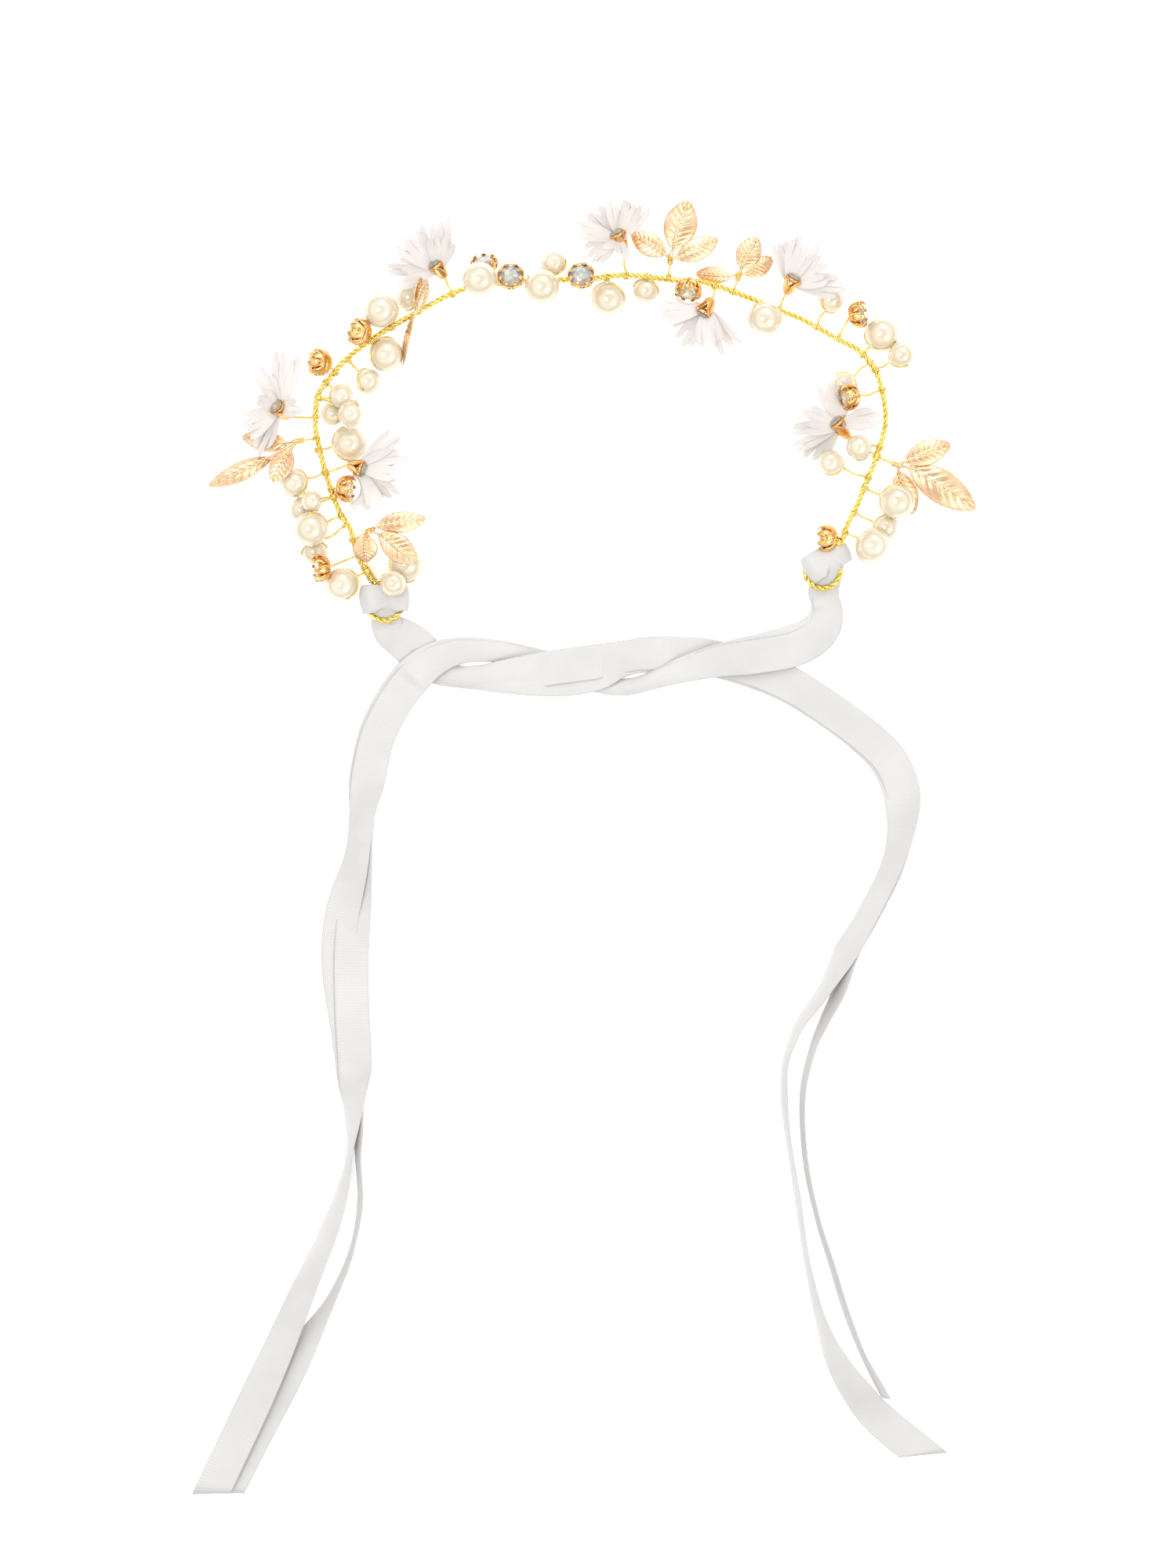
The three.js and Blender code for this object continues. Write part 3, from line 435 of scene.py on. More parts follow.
class Part(NamedTuple):
    """Points, faces, their finish, whether they shade smooth, and a cloth's unrolled places."""

    points: np.ndarray
    faces: list
    finish: bpy.types.Material
    smooth: bool = True
    unrolled: np.ndarray | None = None


def in_scene(name, data):
    """A new object of the scene that holds this data."""
    made = bpy.data.objects.new(name, data)
    bpy.context.scene.collection.objects.link(made)
    return made


def piece(name, parts, nodes=(), body="crown"):
    """One object made of closed parts. It stands for the CAD nodes and moves with the body."""
    finishes = list({part.finish.name: part.finish for part in parts}.values())
    points, faces, tones, smooth, unrolled = [], [], [], [], []
    start = 0
    for part in parts:
        points.append(part.points)
        faces += [[start + corner for corner in face] for face in part.faces]
        tones += [finishes.index(part.finish)] * len(part.faces)
        smooth += [part.smooth] * len(part.faces)
        unrolled.append(np.zeros((len(part.points), 2)) if part.unrolled is None else part.unrolled)
        start += len(part.points)
    mesh = bpy.data.meshes.new(name)
    mesh.from_pydata(np.vstack(points) * MM, [], faces)
    for made in finishes:
        mesh.materials.append(made)
    mesh.polygons.foreach_set("material_index", tones)
    mesh.polygons.foreach_set("use_smooth", smooth)
    if any(part.unrolled is not None for part in parts):
        layer = mesh.uv_layers.new(name="Unrolled")
        corners = np.empty(len(mesh.loops), int)
        mesh.loops.foreach_get("vertex_index", corners)
        layer.data.foreach_set("uv", np.vstack(unrolled)[corners].ravel())
    mesh.update()
    made = in_scene(name, mesh)
    if nodes:
        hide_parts(*nodes)
    if body:
        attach(made, body)
    return made


def unit(vector):
    vector = np.asarray(vector, float)
    return vector / max(1e-9, np.linalg.norm(vector))


def smoothed(rows, per_span):
    """Catmull-Rom samples through rows of numbers."""
    rows = np.asarray(rows, float)
    around = np.vstack([2 * rows[0] - rows[1], rows, 2 * rows[-1] - rows[-2]])
    found = []
    for i in range(1, len(around) - 2):
        a, b, c, d = around[i - 1 : i + 3]
        for t in np.arange(per_span) / per_span:
            bend = (2 * a - 5 * b + 4 * c - d) * t**2 + (3 * b - a - 3 * c + d) * t**3
            found.append(0.5 * (2 * b + (c - a) * t + bend))
    found.append(rows[-1])
    return np.array(found)


def placed(points, at, facing, roll=0.0):
    """Points made round the Z axis, turned to face along facing and moved to their place."""
    axis = Vector(unit(facing))
    turn = Quaternion(axis, roll) @ Vector((0, 0, 1)).rotation_difference(axis)
    return np.asarray(points, float) @ np.array(turn.to_matrix()).T + np.asarray(at, float)


def turned(profile, sides, loop=False):
    """A profile of (radius, height), from its lowest point outwards and up, turned round the Z axis."""
    points, rings = [], []
    angles = np.arange(sides) * math.tau / sides
    for radius, height in profile:
        start = len(points)
        if radius < 1e-6:
            points.append((0, 0, height))
            rings.append([start])
        else:
            points += [(radius * math.cos(a), radius * math.sin(a), height) for a in angles]
            rings.append(list(range(start, start + sides)))
    faces = []
    for low, high in list(zip(rings, rings[1:])) + ([(rings[-1], rings[0])] if loop else []):
        for k in range(sides):
            after = k + 1
            corners = [low[k % len(low)], low[after % len(low)], high[after % len(high)], high[k % len(high)]]
            face = list(dict.fromkeys(corners))
            if len(face) > 2:
                faces.append(face)
    return np.array(points), faces


def spun(points, angle):
    """Points turned round the Z axis."""
    right, ahead = math.cos(angle), math.sin(angle)
    return np.asarray(points) @ np.array(((right, ahead, 0), (-ahead, right, 0), (0, 0, 1)))


def slab(grid, thickness):
    """A closed sheet of that thickness round a grid of points."""
    grid = np.asarray(grid, float)
    rows, columns, _ = grid.shape
    across = np.cross(np.gradient(grid, axis=0), np.gradient(grid, axis=1))
    across /= np.maximum(1e-9, np.linalg.norm(across, axis=2, keepdims=True))
    half = across * thickness / 2
    points = np.vstack([(grid + half).reshape(-1, 3), (grid - half).reshape(-1, 3)])
    below = rows * columns
    faces = []
    for i in range(rows - 1):
        for j in range(columns - 1):
            a = i * columns + j
            b, c, d = a + columns, a + columns + 1, a + 1
            faces.append([a, b, c, d])
            faces.append([below + d, below + c, below + b, below + a])
    for i in range(rows - 1):
        a, b = i * columns, (i + 1) * columns
        faces.append([a, below + a, below + b, b])
        a, b = a + columns - 1, b + columns - 1
        faces.append([a, b, below + b, below + a])
    last = (rows - 1) * columns
    for j in range(columns - 1):
        faces.append([j, j + 1, below + j + 1, below + j])
        faces.append([last + j, below + last + j, below + last + j + 1, last + j + 1])
    return points, faces


def wire_tree():
    """Geometry nodes that lay strands of round wire, twisted together, along each path."""
    tree = bpy.data.node_groups.new("Twisted wire", "GeometryNodeTree")
    add_sockets(
        tree,
        {"Wire": "Geometry"},
        {
            "Path": ("Geometry", None), "Strands": ("Int", 2), "Twist radius": ("Float", 0.0002),
            "Pitch": ("Float", 0.0016), "Wire radius": ("Float", 0.0002), "Sides": ("Int", 6),
            "Step": ("Float", 0.0003), "Finish": ("Material", None),
        },
    )
    given = add_node(tree, "NodeGroupInput")
    result = add_node(tree, "NodeGroupOutput")
    even = add_node(tree, "GeometryNodeResampleCurve", mode="LENGTH")
    strands = add_node(tree, "GeometryNodeDuplicateElements", domain="SPLINE")
    along = add_node(tree, "GeometryNodeSplineParameter")
    turns = add_node(tree, "ShaderNodeMath", operation="DIVIDE")
    phase = add_node(tree, "ShaderNodeMath", operation="DIVIDE")
    total = add_node(tree, "ShaderNodeMath", operation="ADD")
    angle = add_node(tree, "ShaderNodeMath", {1: math.tau}, operation="MULTIPLY")
    normal = add_node(tree, "GeometryNodeInputNormal")
    tangent = add_node(tree, "GeometryNodeInputTangent")
    swing = add_node(tree, "ShaderNodeVectorRotate", rotation_type="AXIS_ANGLE")
    reach = add_node(tree, "ShaderNodeVectorMath", operation="SCALE")
    move = add_node(tree, "GeometryNodeSetPosition")
    section = add_node(tree, "GeometryNodeCurvePrimitiveCircle", mode="RADIUS")
    sweep = add_node(tree, "GeometryNodeCurveToMesh", {"Fill Caps": True})
    real = add_node(tree, "GeometryNodeRealizeInstances")
    paint = add_node(tree, "GeometryNodeSetMaterial")
    add_links(
        tree,
        (given, "Path", even, "Curve"),
        (given, "Step", even, "Length"),
        (even, "Curve", strands, "Geometry"),
        (given, "Strands", strands, "Amount"),
        (along, "Length", turns, 0),
        (given, "Pitch", turns, 1),
        (strands, "Duplicate Index", phase, 0),
        (given, "Strands", phase, 1),
        (turns, 0, total, 0),
        (phase, 0, total, 1),
        (total, 0, angle, 0),
        (normal, 0, swing, "Vector"),
        (tangent, 0, swing, "Axis"),
        (angle, 0, swing, "Angle"),
        (swing, 0, reach, 0),
        (given, "Twist radius", reach, "Scale"),
        (strands, "Geometry", move, "Geometry"),
        (reach, 0, move, "Offset"),
        (given, "Wire radius", section, "Radius"),
        (given, "Sides", section, "Resolution"),
        (move, "Geometry", sweep, "Curve"),
        (section, "Curve", sweep, "Profile Curve"),
        (sweep, "Mesh", real, "Geometry"),
        (real, "Geometry", paint, "Geometry"),
        (given, "Finish", paint, "Material"),
        (paint, "Geometry", result, "Wire"),
    )
    return tree


WIRE_TREE = wire_tree()


def wire(paths, strands, twist, pitch, radius, finish, sides=6, step=0.3):
    """Twisted or plain wire along each path, as one part. Sizes in millimetres."""
    curve = bpy.data.curves.new("wire path", "CURVE")
    curve.dimensions = "3D"
    for path in paths:
        spline = curve.splines.new("POLY")
        spline.points.add(len(path) - 1)
        for point, place in zip(spline.points, path):
            point.co = (*(np.asarray(place) * MM), 1)
    holder = in_scene("wire path", curve)
    modifier = holder.modifiers.new("Twisted wire", "NODES")
    modifier.node_group = WIRE_TREE
    values = {
        "Strands": strands, "Twist radius": twist * MM, "Pitch": pitch * MM, "Wire radius": radius * MM,
        "Sides": sides, "Step": step * MM, "Finish": finish,
    }
    for item in WIRE_TREE.interface.items_tree:
        if item.in_out == "INPUT" and item.name in values:
            modifier[item.identifier] = values[item.name]
    ready = holder.evaluated_get(bpy.context.evaluated_depsgraph_get())
    mesh = bpy.data.meshes.new_from_object(ready)
    points = np.empty(len(mesh.vertices) * 3)
    mesh.vertices.foreach_get("co", points)
    faces = [list(face.vertices) for face in mesh.polygons]
    bpy.data.objects.remove(holder)
    bpy.data.curves.remove(curve)
    bpy.data.meshes.remove(mesh)
    return Part(points.reshape(-1, 3) / MM, faces, finish)


def plain_wire(paths, radius, finish=WIRE_GOLD, **detail):
    """Single wire along each path, as one part."""
    return wire(paths, 1, 0, 1, radius, finish, **detail)


# ---- The wire band -----------------------------------------------------------------------------------

BAND = smoothed(BAND_ROUTE, 40)
BAND_ALONG = np.gradient(BAND, axis=0)
BAND_ALONG /= np.linalg.norm(BAND_ALONG, axis=1, keepdims=True)


def nearest_on_band(point):
    """Where along the band's samples a point is nearest, seen from above."""
    gaps = np.hypot(BAND[:, 0] - point[0], BAND[:, 1] - point[1])
    return int(np.argmin(gaps))


def coil(centre, along, out, radius, turns, pitch):
    """A helix round an axis through centre, starting on the side that out points to."""
    side = np.cross(along, out)
    steps = 14
    found = []
    for k in range(int(turns * steps) + 1):
        angle = k * math.tau / steps
        lift = along * (k / steps - turns / 2) * pitch
        found.append(centre + lift + radius * (math.cos(angle) * out + math.sin(angle) * side))
    return np.array(found)


def ring_loop(ring, neck):
    """A ring of wire that starts and ends at its neck."""
    centre = np.array(ring)
    first = math.atan2(neck[1] - ring[1], neck[0] - ring[0])
    angles = first + np.linspace(0.06, math.tau - 0.06, 60)
    return [centre + RING_RADIUS * np.array((math.cos(a), math.sin(a), 0)) for a in angles]


def add_band():
    rng = np.random.default_rng(3)
    wander = smoothed(rng.normal(0, 0.24, (40, 3)), 29)[: len(BAND)]
    parts = [wire([BAND + wander], 3, 0.44, 5.2, 0.38, WIRE_GOLD, sides=8, step=0.4)]
    loops = [ring_loop(LEFT_RING, BAND_ROUTE[0]), ring_loop(RIGHT_RING, BAND_ROUTE[-1])]
    parts.append(wire(loops, 2, 0.42, 4.2, 0.45, WIRE_GOLD, sides=8, step=0.3))
    necks = []
    for index in (30, len(BAND) - 31):
        out = unit(np.cross(BAND_ALONG[index], (0, 0, 1)))
        necks.append(coil(BAND[index], BAND_ALONG[index], out, BAND_RADIUS + 0.25, 9, 0.6))
    parts.append(plain_wire(necks, NECK_WIRE_RADIUS))
    piece("band_wires", parts, ["band_wire"])


def stem(start, seed, bend=0.6, towards=None):
    """The twisted pair from a piece to the band, and the turns that bind it there."""
    rng = np.random.default_rng(seed)
    index = nearest_on_band(start if towards is None else towards)
    on_band, along = BAND[index], BAND_ALONG[index]
    gap = np.asarray(start) - on_band
    out = unit(gap - along * np.dot(gap, along))
    landing = on_band + out * (BAND_RADIUS + 0.15)
    middle = (landing + start) / 2 + rng.normal(0, bend, 3) * min(1, np.linalg.norm(gap) / 8)
    pair = smoothed([start, middle, landing], 8)
    binding = coil(on_band, along, out, BAND_RADIUS + 0.16, rng.integers(2, 4), 0.5)
    return [
        wire([pair], 2, 0.17, 1.5, STEM_WIRE_RADIUS, WIRE_GOLD, step=0.25),
        plain_wire([binding], BINDING_WIRE_RADIUS),
    ]


# ---- Beads -------------------------------------------------------------------------------------------


def bead(centre, diameter, hole_axis):
    """A pearl bead with its drilled hole."""
    radius, hole = diameter / 2, BEAD_HOLE_RADIUS
    first = math.asin((hole + 0.22) / radius)
    angles = np.linspace(first, math.pi - first, 20)
    skin = [(radius * math.sin(a), -radius * math.cos(a)) for a in angles]
    end = skin[-1][1]
    inside = [(hole + 0.06, end + 0.02), (hole, end - 0.2), (hole, 0.2 - end), (hole + 0.06, -end - 0.02)]
    points, faces = turned(skin + inside, 36, loop=True)
    return Part(placed(points, centre, hole_axis), faces, PEARL)


def bead_wire(centre, diameter, hole_axis, base):
    """The wire out of both ends of a bead's hole and down over its sides to the base of its stem."""
    radius = diameter / 2
    down = unit(np.asarray(base) - centre)
    paths = []
    for side in (hole_axis, -hole_axis):
        path = [centre + side * (radius - 1.2), centre + side * (radius - 0.2)]
        for angle in np.linspace(0.12, math.pi / 2 - 0.18, 9):
            path.append(centre + (radius + 0.2) * (math.cos(angle) * side + math.sin(angle) * down))
        path.append(np.asarray(base, float))
        paths.append(smoothed(path, 3))
    return plain_wire(paths, BEAD_WIRE_RADIUS, step=0.25)


def add_pearls():
    rng = np.random.default_rng(7)
    for number, (name, beads) in enumerate(PEARLS.items()):
        wires = []
        for order, (x, y, z, diameter) in enumerate(beads):
            centre = np.array((x, y, z))
            goal = BAND[nearest_on_band(centre)] if order == 0 else np.array(beads[0][:3])
            down = unit(goal - centre)
            level = unit(np.cross(down, (0.0, 0.0, 1.0)) if abs(down[2]) < 0.95 else (1.0, 0.0, 0.0))
            roll = Quaternion(Vector(down), rng.uniform(-0.7, 0.7))
            hole_axis = np.array(roll @ Vector(level))
            base = centre + down * (diameter / 2 + 0.55)
            bead_name = f"{name}_bead" if len(beads) == 1 else f"{name}_bead_{order + 1}"
            nodes = [name] if order == 0 else []
            piece(bead_name, [bead(centre, diameter, hole_axis)], nodes)
            wires.append(bead_wire(centre, diameter, hole_axis, base))
            wires += stem(base, 100 + 10 * number + order)
        piece(f"{name}_wire", wires)


# ---- Rhinestones -------------------------------------------------------------------------------------


def cut_stone(radius, finish):
    """A round stone with table, star, kite and girdle facets over a pointed foil back."""

    def ring(count, r, height, shift=0.0):
        angles = (np.arange(count) + shift) * math.tau / count
        return [(r * math.cos(a), r * math.sin(a), height) for a in angles]

    table, bezel = ring(8, 0.56 * radius, 0.36 * radius), ring(8, 0.8 * radius, 0.22 * radius, 0.5)
    girdle, lower = ring(16, radius, 0.02 * radius), ring(16, radius, -0.06 * radius)
    points = np.array(table + bezel + girdle + lower + [(0, 0, -0.5 * radius)])
    top, under = [list(range(8))], []
    for k in range(8):
        after = (k + 1) % 8
        left, right, mid = 16 + 2 * k, 16 + (2 * k + 2) % 16, 16 + 2 * k + 1
        top += [[after, k, 8 + k], [8 + k, left, mid], [8 + k, mid, right]]
        top.append([k, 8 + (k - 1) % 8, left, 8 + k])
    for k in range(16):
        after = (k + 1) % 16
        top.append([16 + after, 16 + k, 32 + k, 32 + after])
        under.append([32 + after, 32 + k, 48])
    return [Part(points, top, finish, False), Part(points, under, FOIL_PAINTED_GLINTS, False)]


def claw_cup(radius, depth):
    """A pressed dome with a recessed wall above it, claws that fold over the stone's edge, and the thin bar
    that joins the claws."""
    outer, wall = radius + 0.3, 0.2
    recess, shelf = 0.84 * outer - 0.3, outer - 0.5
    bowl = [
        (0, -0.25 - depth), (0.5 * outer, -0.12 - depth), (0.66 * outer, -0.9 * depth),
        (0.62 * outer, -0.78 * depth), (recess, -0.45 * depth), (shelf, -0.1 * depth),
        (shelf - wall, -0.1 * depth), (recess - wall, -0.45 * depth),
        (0.62 * outer - wall, -0.72 * depth), (0.4 * outer, 0.1 - depth), (0, -depth),
    ]
    bar = [(outer - 0.12, 0.02), (outer + 0.14, 0.02), (outer + 0.14, 0.4), (outer - 0.12, 0.4)]
    parts = [turned(bowl, 32), turned(bar, 32, loop=True)]
    claw = [
        (0.58 * outer, -0.98 * depth), (0.85 * outer, -0.68 * depth), (outer, -0.3 * depth),
        (outer + 0.12, 0.05 * depth), (outer + 0.02, 0.28 * depth), (outer - 0.32, 0.42 * depth),
        (outer - 0.95, 0.5 * depth),
    ]
    centre_line = smoothed([(r, 0, h) for r, h in claw], 4)
    reach = np.linspace(0, 1, len(centre_line))
    half_widths = np.interp(
        reach, [0, 0.16, 0.3, 0.4, 0.5, 0.86, 1], [0.82, 0.85, 1.2, 0.85, 0.66, 0.52, 0.2]
    )
    across = np.linspace(-1, 1, 5)
    for k in range(CLAWS):
        grid = []
        for place, half in zip(centre_line, half_widths):
            grid.append([place + (-0.12 * v**2 * half, v * half, 0) for v in across])
        points, faces = slab(np.array(grid)[:, ::-1], 0.28)
        parts.append((spun(points, (k + 0.5) * math.tau / CLAWS), faces))
    return [Part(points, faces, CUP_GOLD) for points, faces in parts]


def moved(part, at, facing, roll=0.0):
    return part._replace(points=placed(part.points, at, facing, roll))


def add_rhinestones():
    rng = np.random.default_rng(11)
    for number, (at, facing, milky) in enumerate(RHINESTONES, 1):
        axis, roll = unit(facing), rng.uniform(0, math.pi / 4)
        seat = np.array(at) + axis * 0.6
        name = f"rhinestone_{number}"
        stone = cut_stone(STONE_RADIUS, MILKY_STONE if milky else CLEAR_STONE_PAINTED_GLINTS)
        piece(f"{name}_stone", [moved(part, seat, axis, roll) for part in stone])
        cup = [moved(part, seat, axis, roll) for part in claw_cup(STONE_RADIUS, CUP_DEPTH)]
        foot = seat - axis * (CUP_DEPTH - 0.1)
        piece(f"{name}_cup", cup + stem(foot, 400 + number, bend=0.3), [name])


# ---- Flowers -----------------------------------------------------------------------------------------


def firm_balls():
    """Centre and radius of everything round and firm that thin pieces lie against."""
    found = [(np.array(bead[:3]), bead[3] / 2 + 0.45) for beads in PEARLS.values() for bead in beads]
    found += [(np.array(at), 4.3) for at, _, _ in RHINESTONES]
    return found


FIRM = firm_balls()


def pushed_clear(points):
    """Moves the points of a thin piece out of the beads, the cups and the band."""
    points = np.array(points, float)
    for _ in range(2):
        for centre, radius in FIRM:
            away = points - centre
            gap = np.linalg.norm(away, axis=-1, keepdims=True)
            inside = gap < radius
            points = np.where(inside, centre + away / np.maximum(gap, 1e-6) * radius, points)
    for index in range(0, len(BAND), 12):
        away = points - BAND[index]
        gap = np.linalg.norm(away, axis=-1, keepdims=True)
        reach = BAND_RADIUS + 0.75
        points = np.where(gap < reach, BAND[index] + away / np.maximum(gap, 1e-6) * reach, points)
    return points


def petal(foot, tip, width, rng):
    """A silk petal, narrow at its foot and slit into pointed, toothed fingers that splay apart, and its
    area of silk."""
    along = tip - foot
    length = np.linalg.norm(along)
    along = along / length
    facing = unit(np.array((0, 0, 1)) - along * along[2])
    side = np.cross(facing, along)
    fingers = 3 if width < 7.5 else 4
    wide = 2 / fingers
    v, outline, owner = [], [], []
    for k in range(fingers):
        peak, slit = rng.uniform(0.76, 1), rng.uniform(0.42, 0.7)
        lean = rng.uniform(-0.08, 0.08)
        teeth = [(0, slit), (0.1, 0.84), (0.2, 0.93), (0.27, 0.86), (0.4 + lean, 0.98), (0.46 + lean, 0.91),
                 (0.56 + lean, 1), (0.66 + lean, 0.89), (0.78, 0.95), (0.84, 0.87), (0.92, 0.82)]
        v += [-1 + wide * (k + share) for share, _ in teeth]
        outline += [slit] + [height * peak for _, height in teeth[1:]]
        owner += [k] * len(teeth)
    v, outline = np.array(v + [1.0]), np.array(outline + [0.55])
    owner = np.array(owner + [fingers - 1])
    outline = outline * (1 - 0.14 * v**2)
    u = np.linspace(0, 1, 15)[:, None]
    share = u * outline
    half = 0.5 * width * (0.2 + 0.95 * np.sin(np.pi / 2 * share**0.8))
    free = np.clip(share - 0.36, 0, 1) ** 1.4
    sway, rise = rng.uniform(-2.6, 2.6, fingers)[owner], rng.uniform(-1.6, 2.6, fingers)[owner]
    ripple, curl, cup = rng.uniform(0, math.tau), rng.uniform(-1.2, 2.2), rng.uniform(0.25, 0.6)
    lift = cup * half * 0.45 * v**2 - curl * (share - 0.45) ** 2 + 0.5 * share * np.sin(3.1 * v + ripple)
    lift = lift + free * rise * 2 + 0.06 * share * np.cos(math.tau * 3 * v + ripple)
    grid = (
        foot
        + (share * length)[..., None] * along
        + (v * half + free * sway)[..., None] * side
        + (lift - lift[0].mean())[..., None] * facing
    )
    points, faces = slab(pushed_clear(grid)[:, ::-1], PETAL_THICKNESS)
    flat = np.dstack([share * length / 10, v * half / 10])[:, ::-1].reshape(-1, 2)
    return Part(points, faces, PETAL_SILK, True, np.vstack([flat, flat])), length * width * PETAL_FILL


def sepals(back, front, axis):
    """A pressed gold cap of four pointed sepals round the foot of the petals."""
    length = np.linalg.norm(front - back) + 1.6
    parts = []
    stalk = [(0, -0.2), (0.55, -0.2), (0.8, 0.35), (1.15, 1.1), (0.85, 1.15), (0, 0.8)]
    points, faces = turned(stalk, 20)
    parts.append(Part(placed(points, back, axis), faces, CUP_GOLD))
    across = np.linspace(-1, 1, 7)
    for k in range(SEPALS):
        grid = []
        for u in np.linspace(0, 1, 11):
            half = 1.3 * math.sin(math.pi * (0.14 + 0.84 * u)) ** 0.8
            out = 0.75 + 2.3 * u**1.2
            ridge = [0.14 * math.exp(-((v / 0.2) ** 2)) - 0.22 * v * v for v in across]
            grid.append([(out + rise, v * half, u * length) for v, rise in zip(across, ridge)])
        points, faces = slab(np.array(grid)[:, ::-1], 0.24)
        sepal = spun(points, k * math.tau / SEPALS + 0.4)
        parts.append(Part(placed(sepal, back, axis), faces, CUP_GOLD))
    return parts


def flower_heart(middle, axis):
    """The small stone in its rim at the middle of a flower."""
    rim = [(0, 0), (1.9, 0), (2.4, 0.4), (2.45, 0.95), (2.3, 1.15), (2.1, 0.9), (1.9, 0.5), (0, 0.25)]
    points, faces = turned(rim, 28)
    base = middle + axis * 0.5
    parts = [Part(placed(points, base, axis), faces, CUP_GOLD)]
    seat = base + axis * 1.42
    stone = [moved(part, seat, axis, 0.2) for part in cut_stone(HEART_STONE_RADIUS, CLEAR_STONE_PAINTED_GLINTS)]
    return parts, stone


def add_flowers():
    rng = np.random.default_rng(21)
    for number, (back, whorl, petals) in enumerate(FLOWERS, 1):
        back, middle = np.array(back, float), np.array(whorl, float)
        axis = unit(middle - back)
        parts, area = [], 0.0
        for tip, width in petals:
            tip = np.array(tip, float)
            out = tip - middle
            out = unit(out - axis * np.dot(out, axis))
            made, cloth = petal(middle + out * 0.6, tip, width, rng)
            parts.append(made)
            area += cloth
        name = f"flower_{number}"
        silk = piece(f"{name}_silk", parts, [f"{name}_petals"])
        rim, stone = flower_heart(middle, axis)
        metal = sepals(back, middle, axis) + rim + stem(back, 600 + number, bend=0.4)
        piece(f"{name}_cup", metal, [f"{name}_heart"])
        piece(f"{name}_stone", stone)


# ---- Leaf sprigs -------------------------------------------------------------------------------------


def leaf(foot, tip, width, turn):
    """A pressed brass leaf with a raised midrib and side veins, and a toothed edge."""
    foot, tip = np.array(foot, float), np.array(tip, float)
    length = np.linalg.norm(tip - foot)
    along = (tip - foot) / length
    facing = unit(np.array((0, 0, 1)) - along * along[2])
    facing = np.array(Quaternion(Vector(along), math.radians(turn)) @ Vector(facing))
    side = np.cross(facing, along)
    u = np.linspace(0, 1, 57)[:, None]
    v = np.linspace(-1, 1, 23)
    outline = np.clip(np.sin(np.pi * (0.035 + 0.945 * u)), 0, 1) ** 0.75
    saw = 1 + 0.055 * ((u * LEAF_VEINS * 1.6) % 1 - 0.5) * (np.abs(v) > 0.9)
    half = 0.5 * width * outline * saw
    flow = (u - 0.22 * np.abs(v)) * LEAF_VEINS
    fade = np.clip(1.1 - np.abs(v), 0, 1) * np.clip(12 * outline - 3, 0, 1)
    rib = np.exp(-(((flow % 1) - 0.5) / 0.13) ** 2) * fade
    mid = np.exp(-((v / 0.09) ** 2)) * np.ones_like(u)
    lift = 0.36 * mid + 0.3 * rib - 0.1 * width * v**2 * outline + 0.06 * length * np.sin(np.pi * u)
    grid = (
        foot
        + (u * length * np.ones_like(v))[..., None] * along
        + (v * half)[..., None] * side
        + lift[..., None] * facing
    )
    points, faces = slab(pushed_clear(grid)[:, ::-1], LEAF_THICKNESS)
    return Part(points, faces, LEAF_GOLD)


def add_sprigs():
    for number, (fold, leaves) in enumerate(SPRIGS, 1):
        fold = np.array(fold, float)
        parts = []
        for foot, tip, width, turn in leaves:
            foot = np.array(foot, float)
            inner = foot + unit(np.array(tip) - foot) * 1.2
            stalk = smoothed([fold, (fold + inner) / 2 + (0, 0, 0.3), inner], 6)
            parts.append(plain_wire([stalk], 0.42, LEAF_GOLD, sides=8))
            parts.append(leaf(foot, tip, width, turn))
        index = nearest_on_band(fold)
        away = unit(fold - BAND[index])
        binding = coil(fold - away * 0.8, away, unit(np.cross(away, (0, 0, 1))), 0.75, 4, 0.5)
        parts.append(plain_wire([binding], BINDING_WIRE_RADIUS))
        tail = [fold + away * 1.2, fold - away * 2]
        parts.append(plain_wire([tail], 0.6, LEAF_GOLD, sides=10))
        parts += stem(fold - away * 1.6, 800 + number, bend=0.3)
        piece(f"leaf_sprig_{number}_leaves", parts, [f"leaf_sprig_{number}"])


# ---- Ribbons -----------------------------------------------------------------------------------------

SWING_AXIS = unit(np.array(RIGHT_PIVOT) - np.array(LEFT_PIVOT))
SWING_DOWN = np.array((SWING_AXIS[1], -SWING_AXIS[0], 0))


def hitch_rows(ring, mirror, rise, turn):
    """One half of the ribbon's wrap over a ring, from behind the neck: place, width and face. Rise moves
    what lies on top of the ring up, and turn, in radians, swings all but the lower end round."""
    rows = []
    lowest = HITCH[-1][0][1]
    slip_right, slip_ahead = 5.2, 1.6
    for (x, y, z, width), (nx, ny, nz) in HITCH:
        angle = turn * min(1, max(0, (y - lowest) / 5))
        right = math.cos(angle) * SWING_AXIS - math.sin(angle) * SWING_DOWN
        ahead = np.cross((0, 0, 1), right)
        across = (x * mirror + slip_right * angle) * right
        height = z + rise if z > 0.5 else z
        place = np.array(ring) + across + (y + slip_ahead * angle) * ahead + (0, 0, height)
        face = nx * mirror * right + ny * ahead + np.array((0, 0, nz))
        rows.append([*place, width, *unit(face)])
    return rows


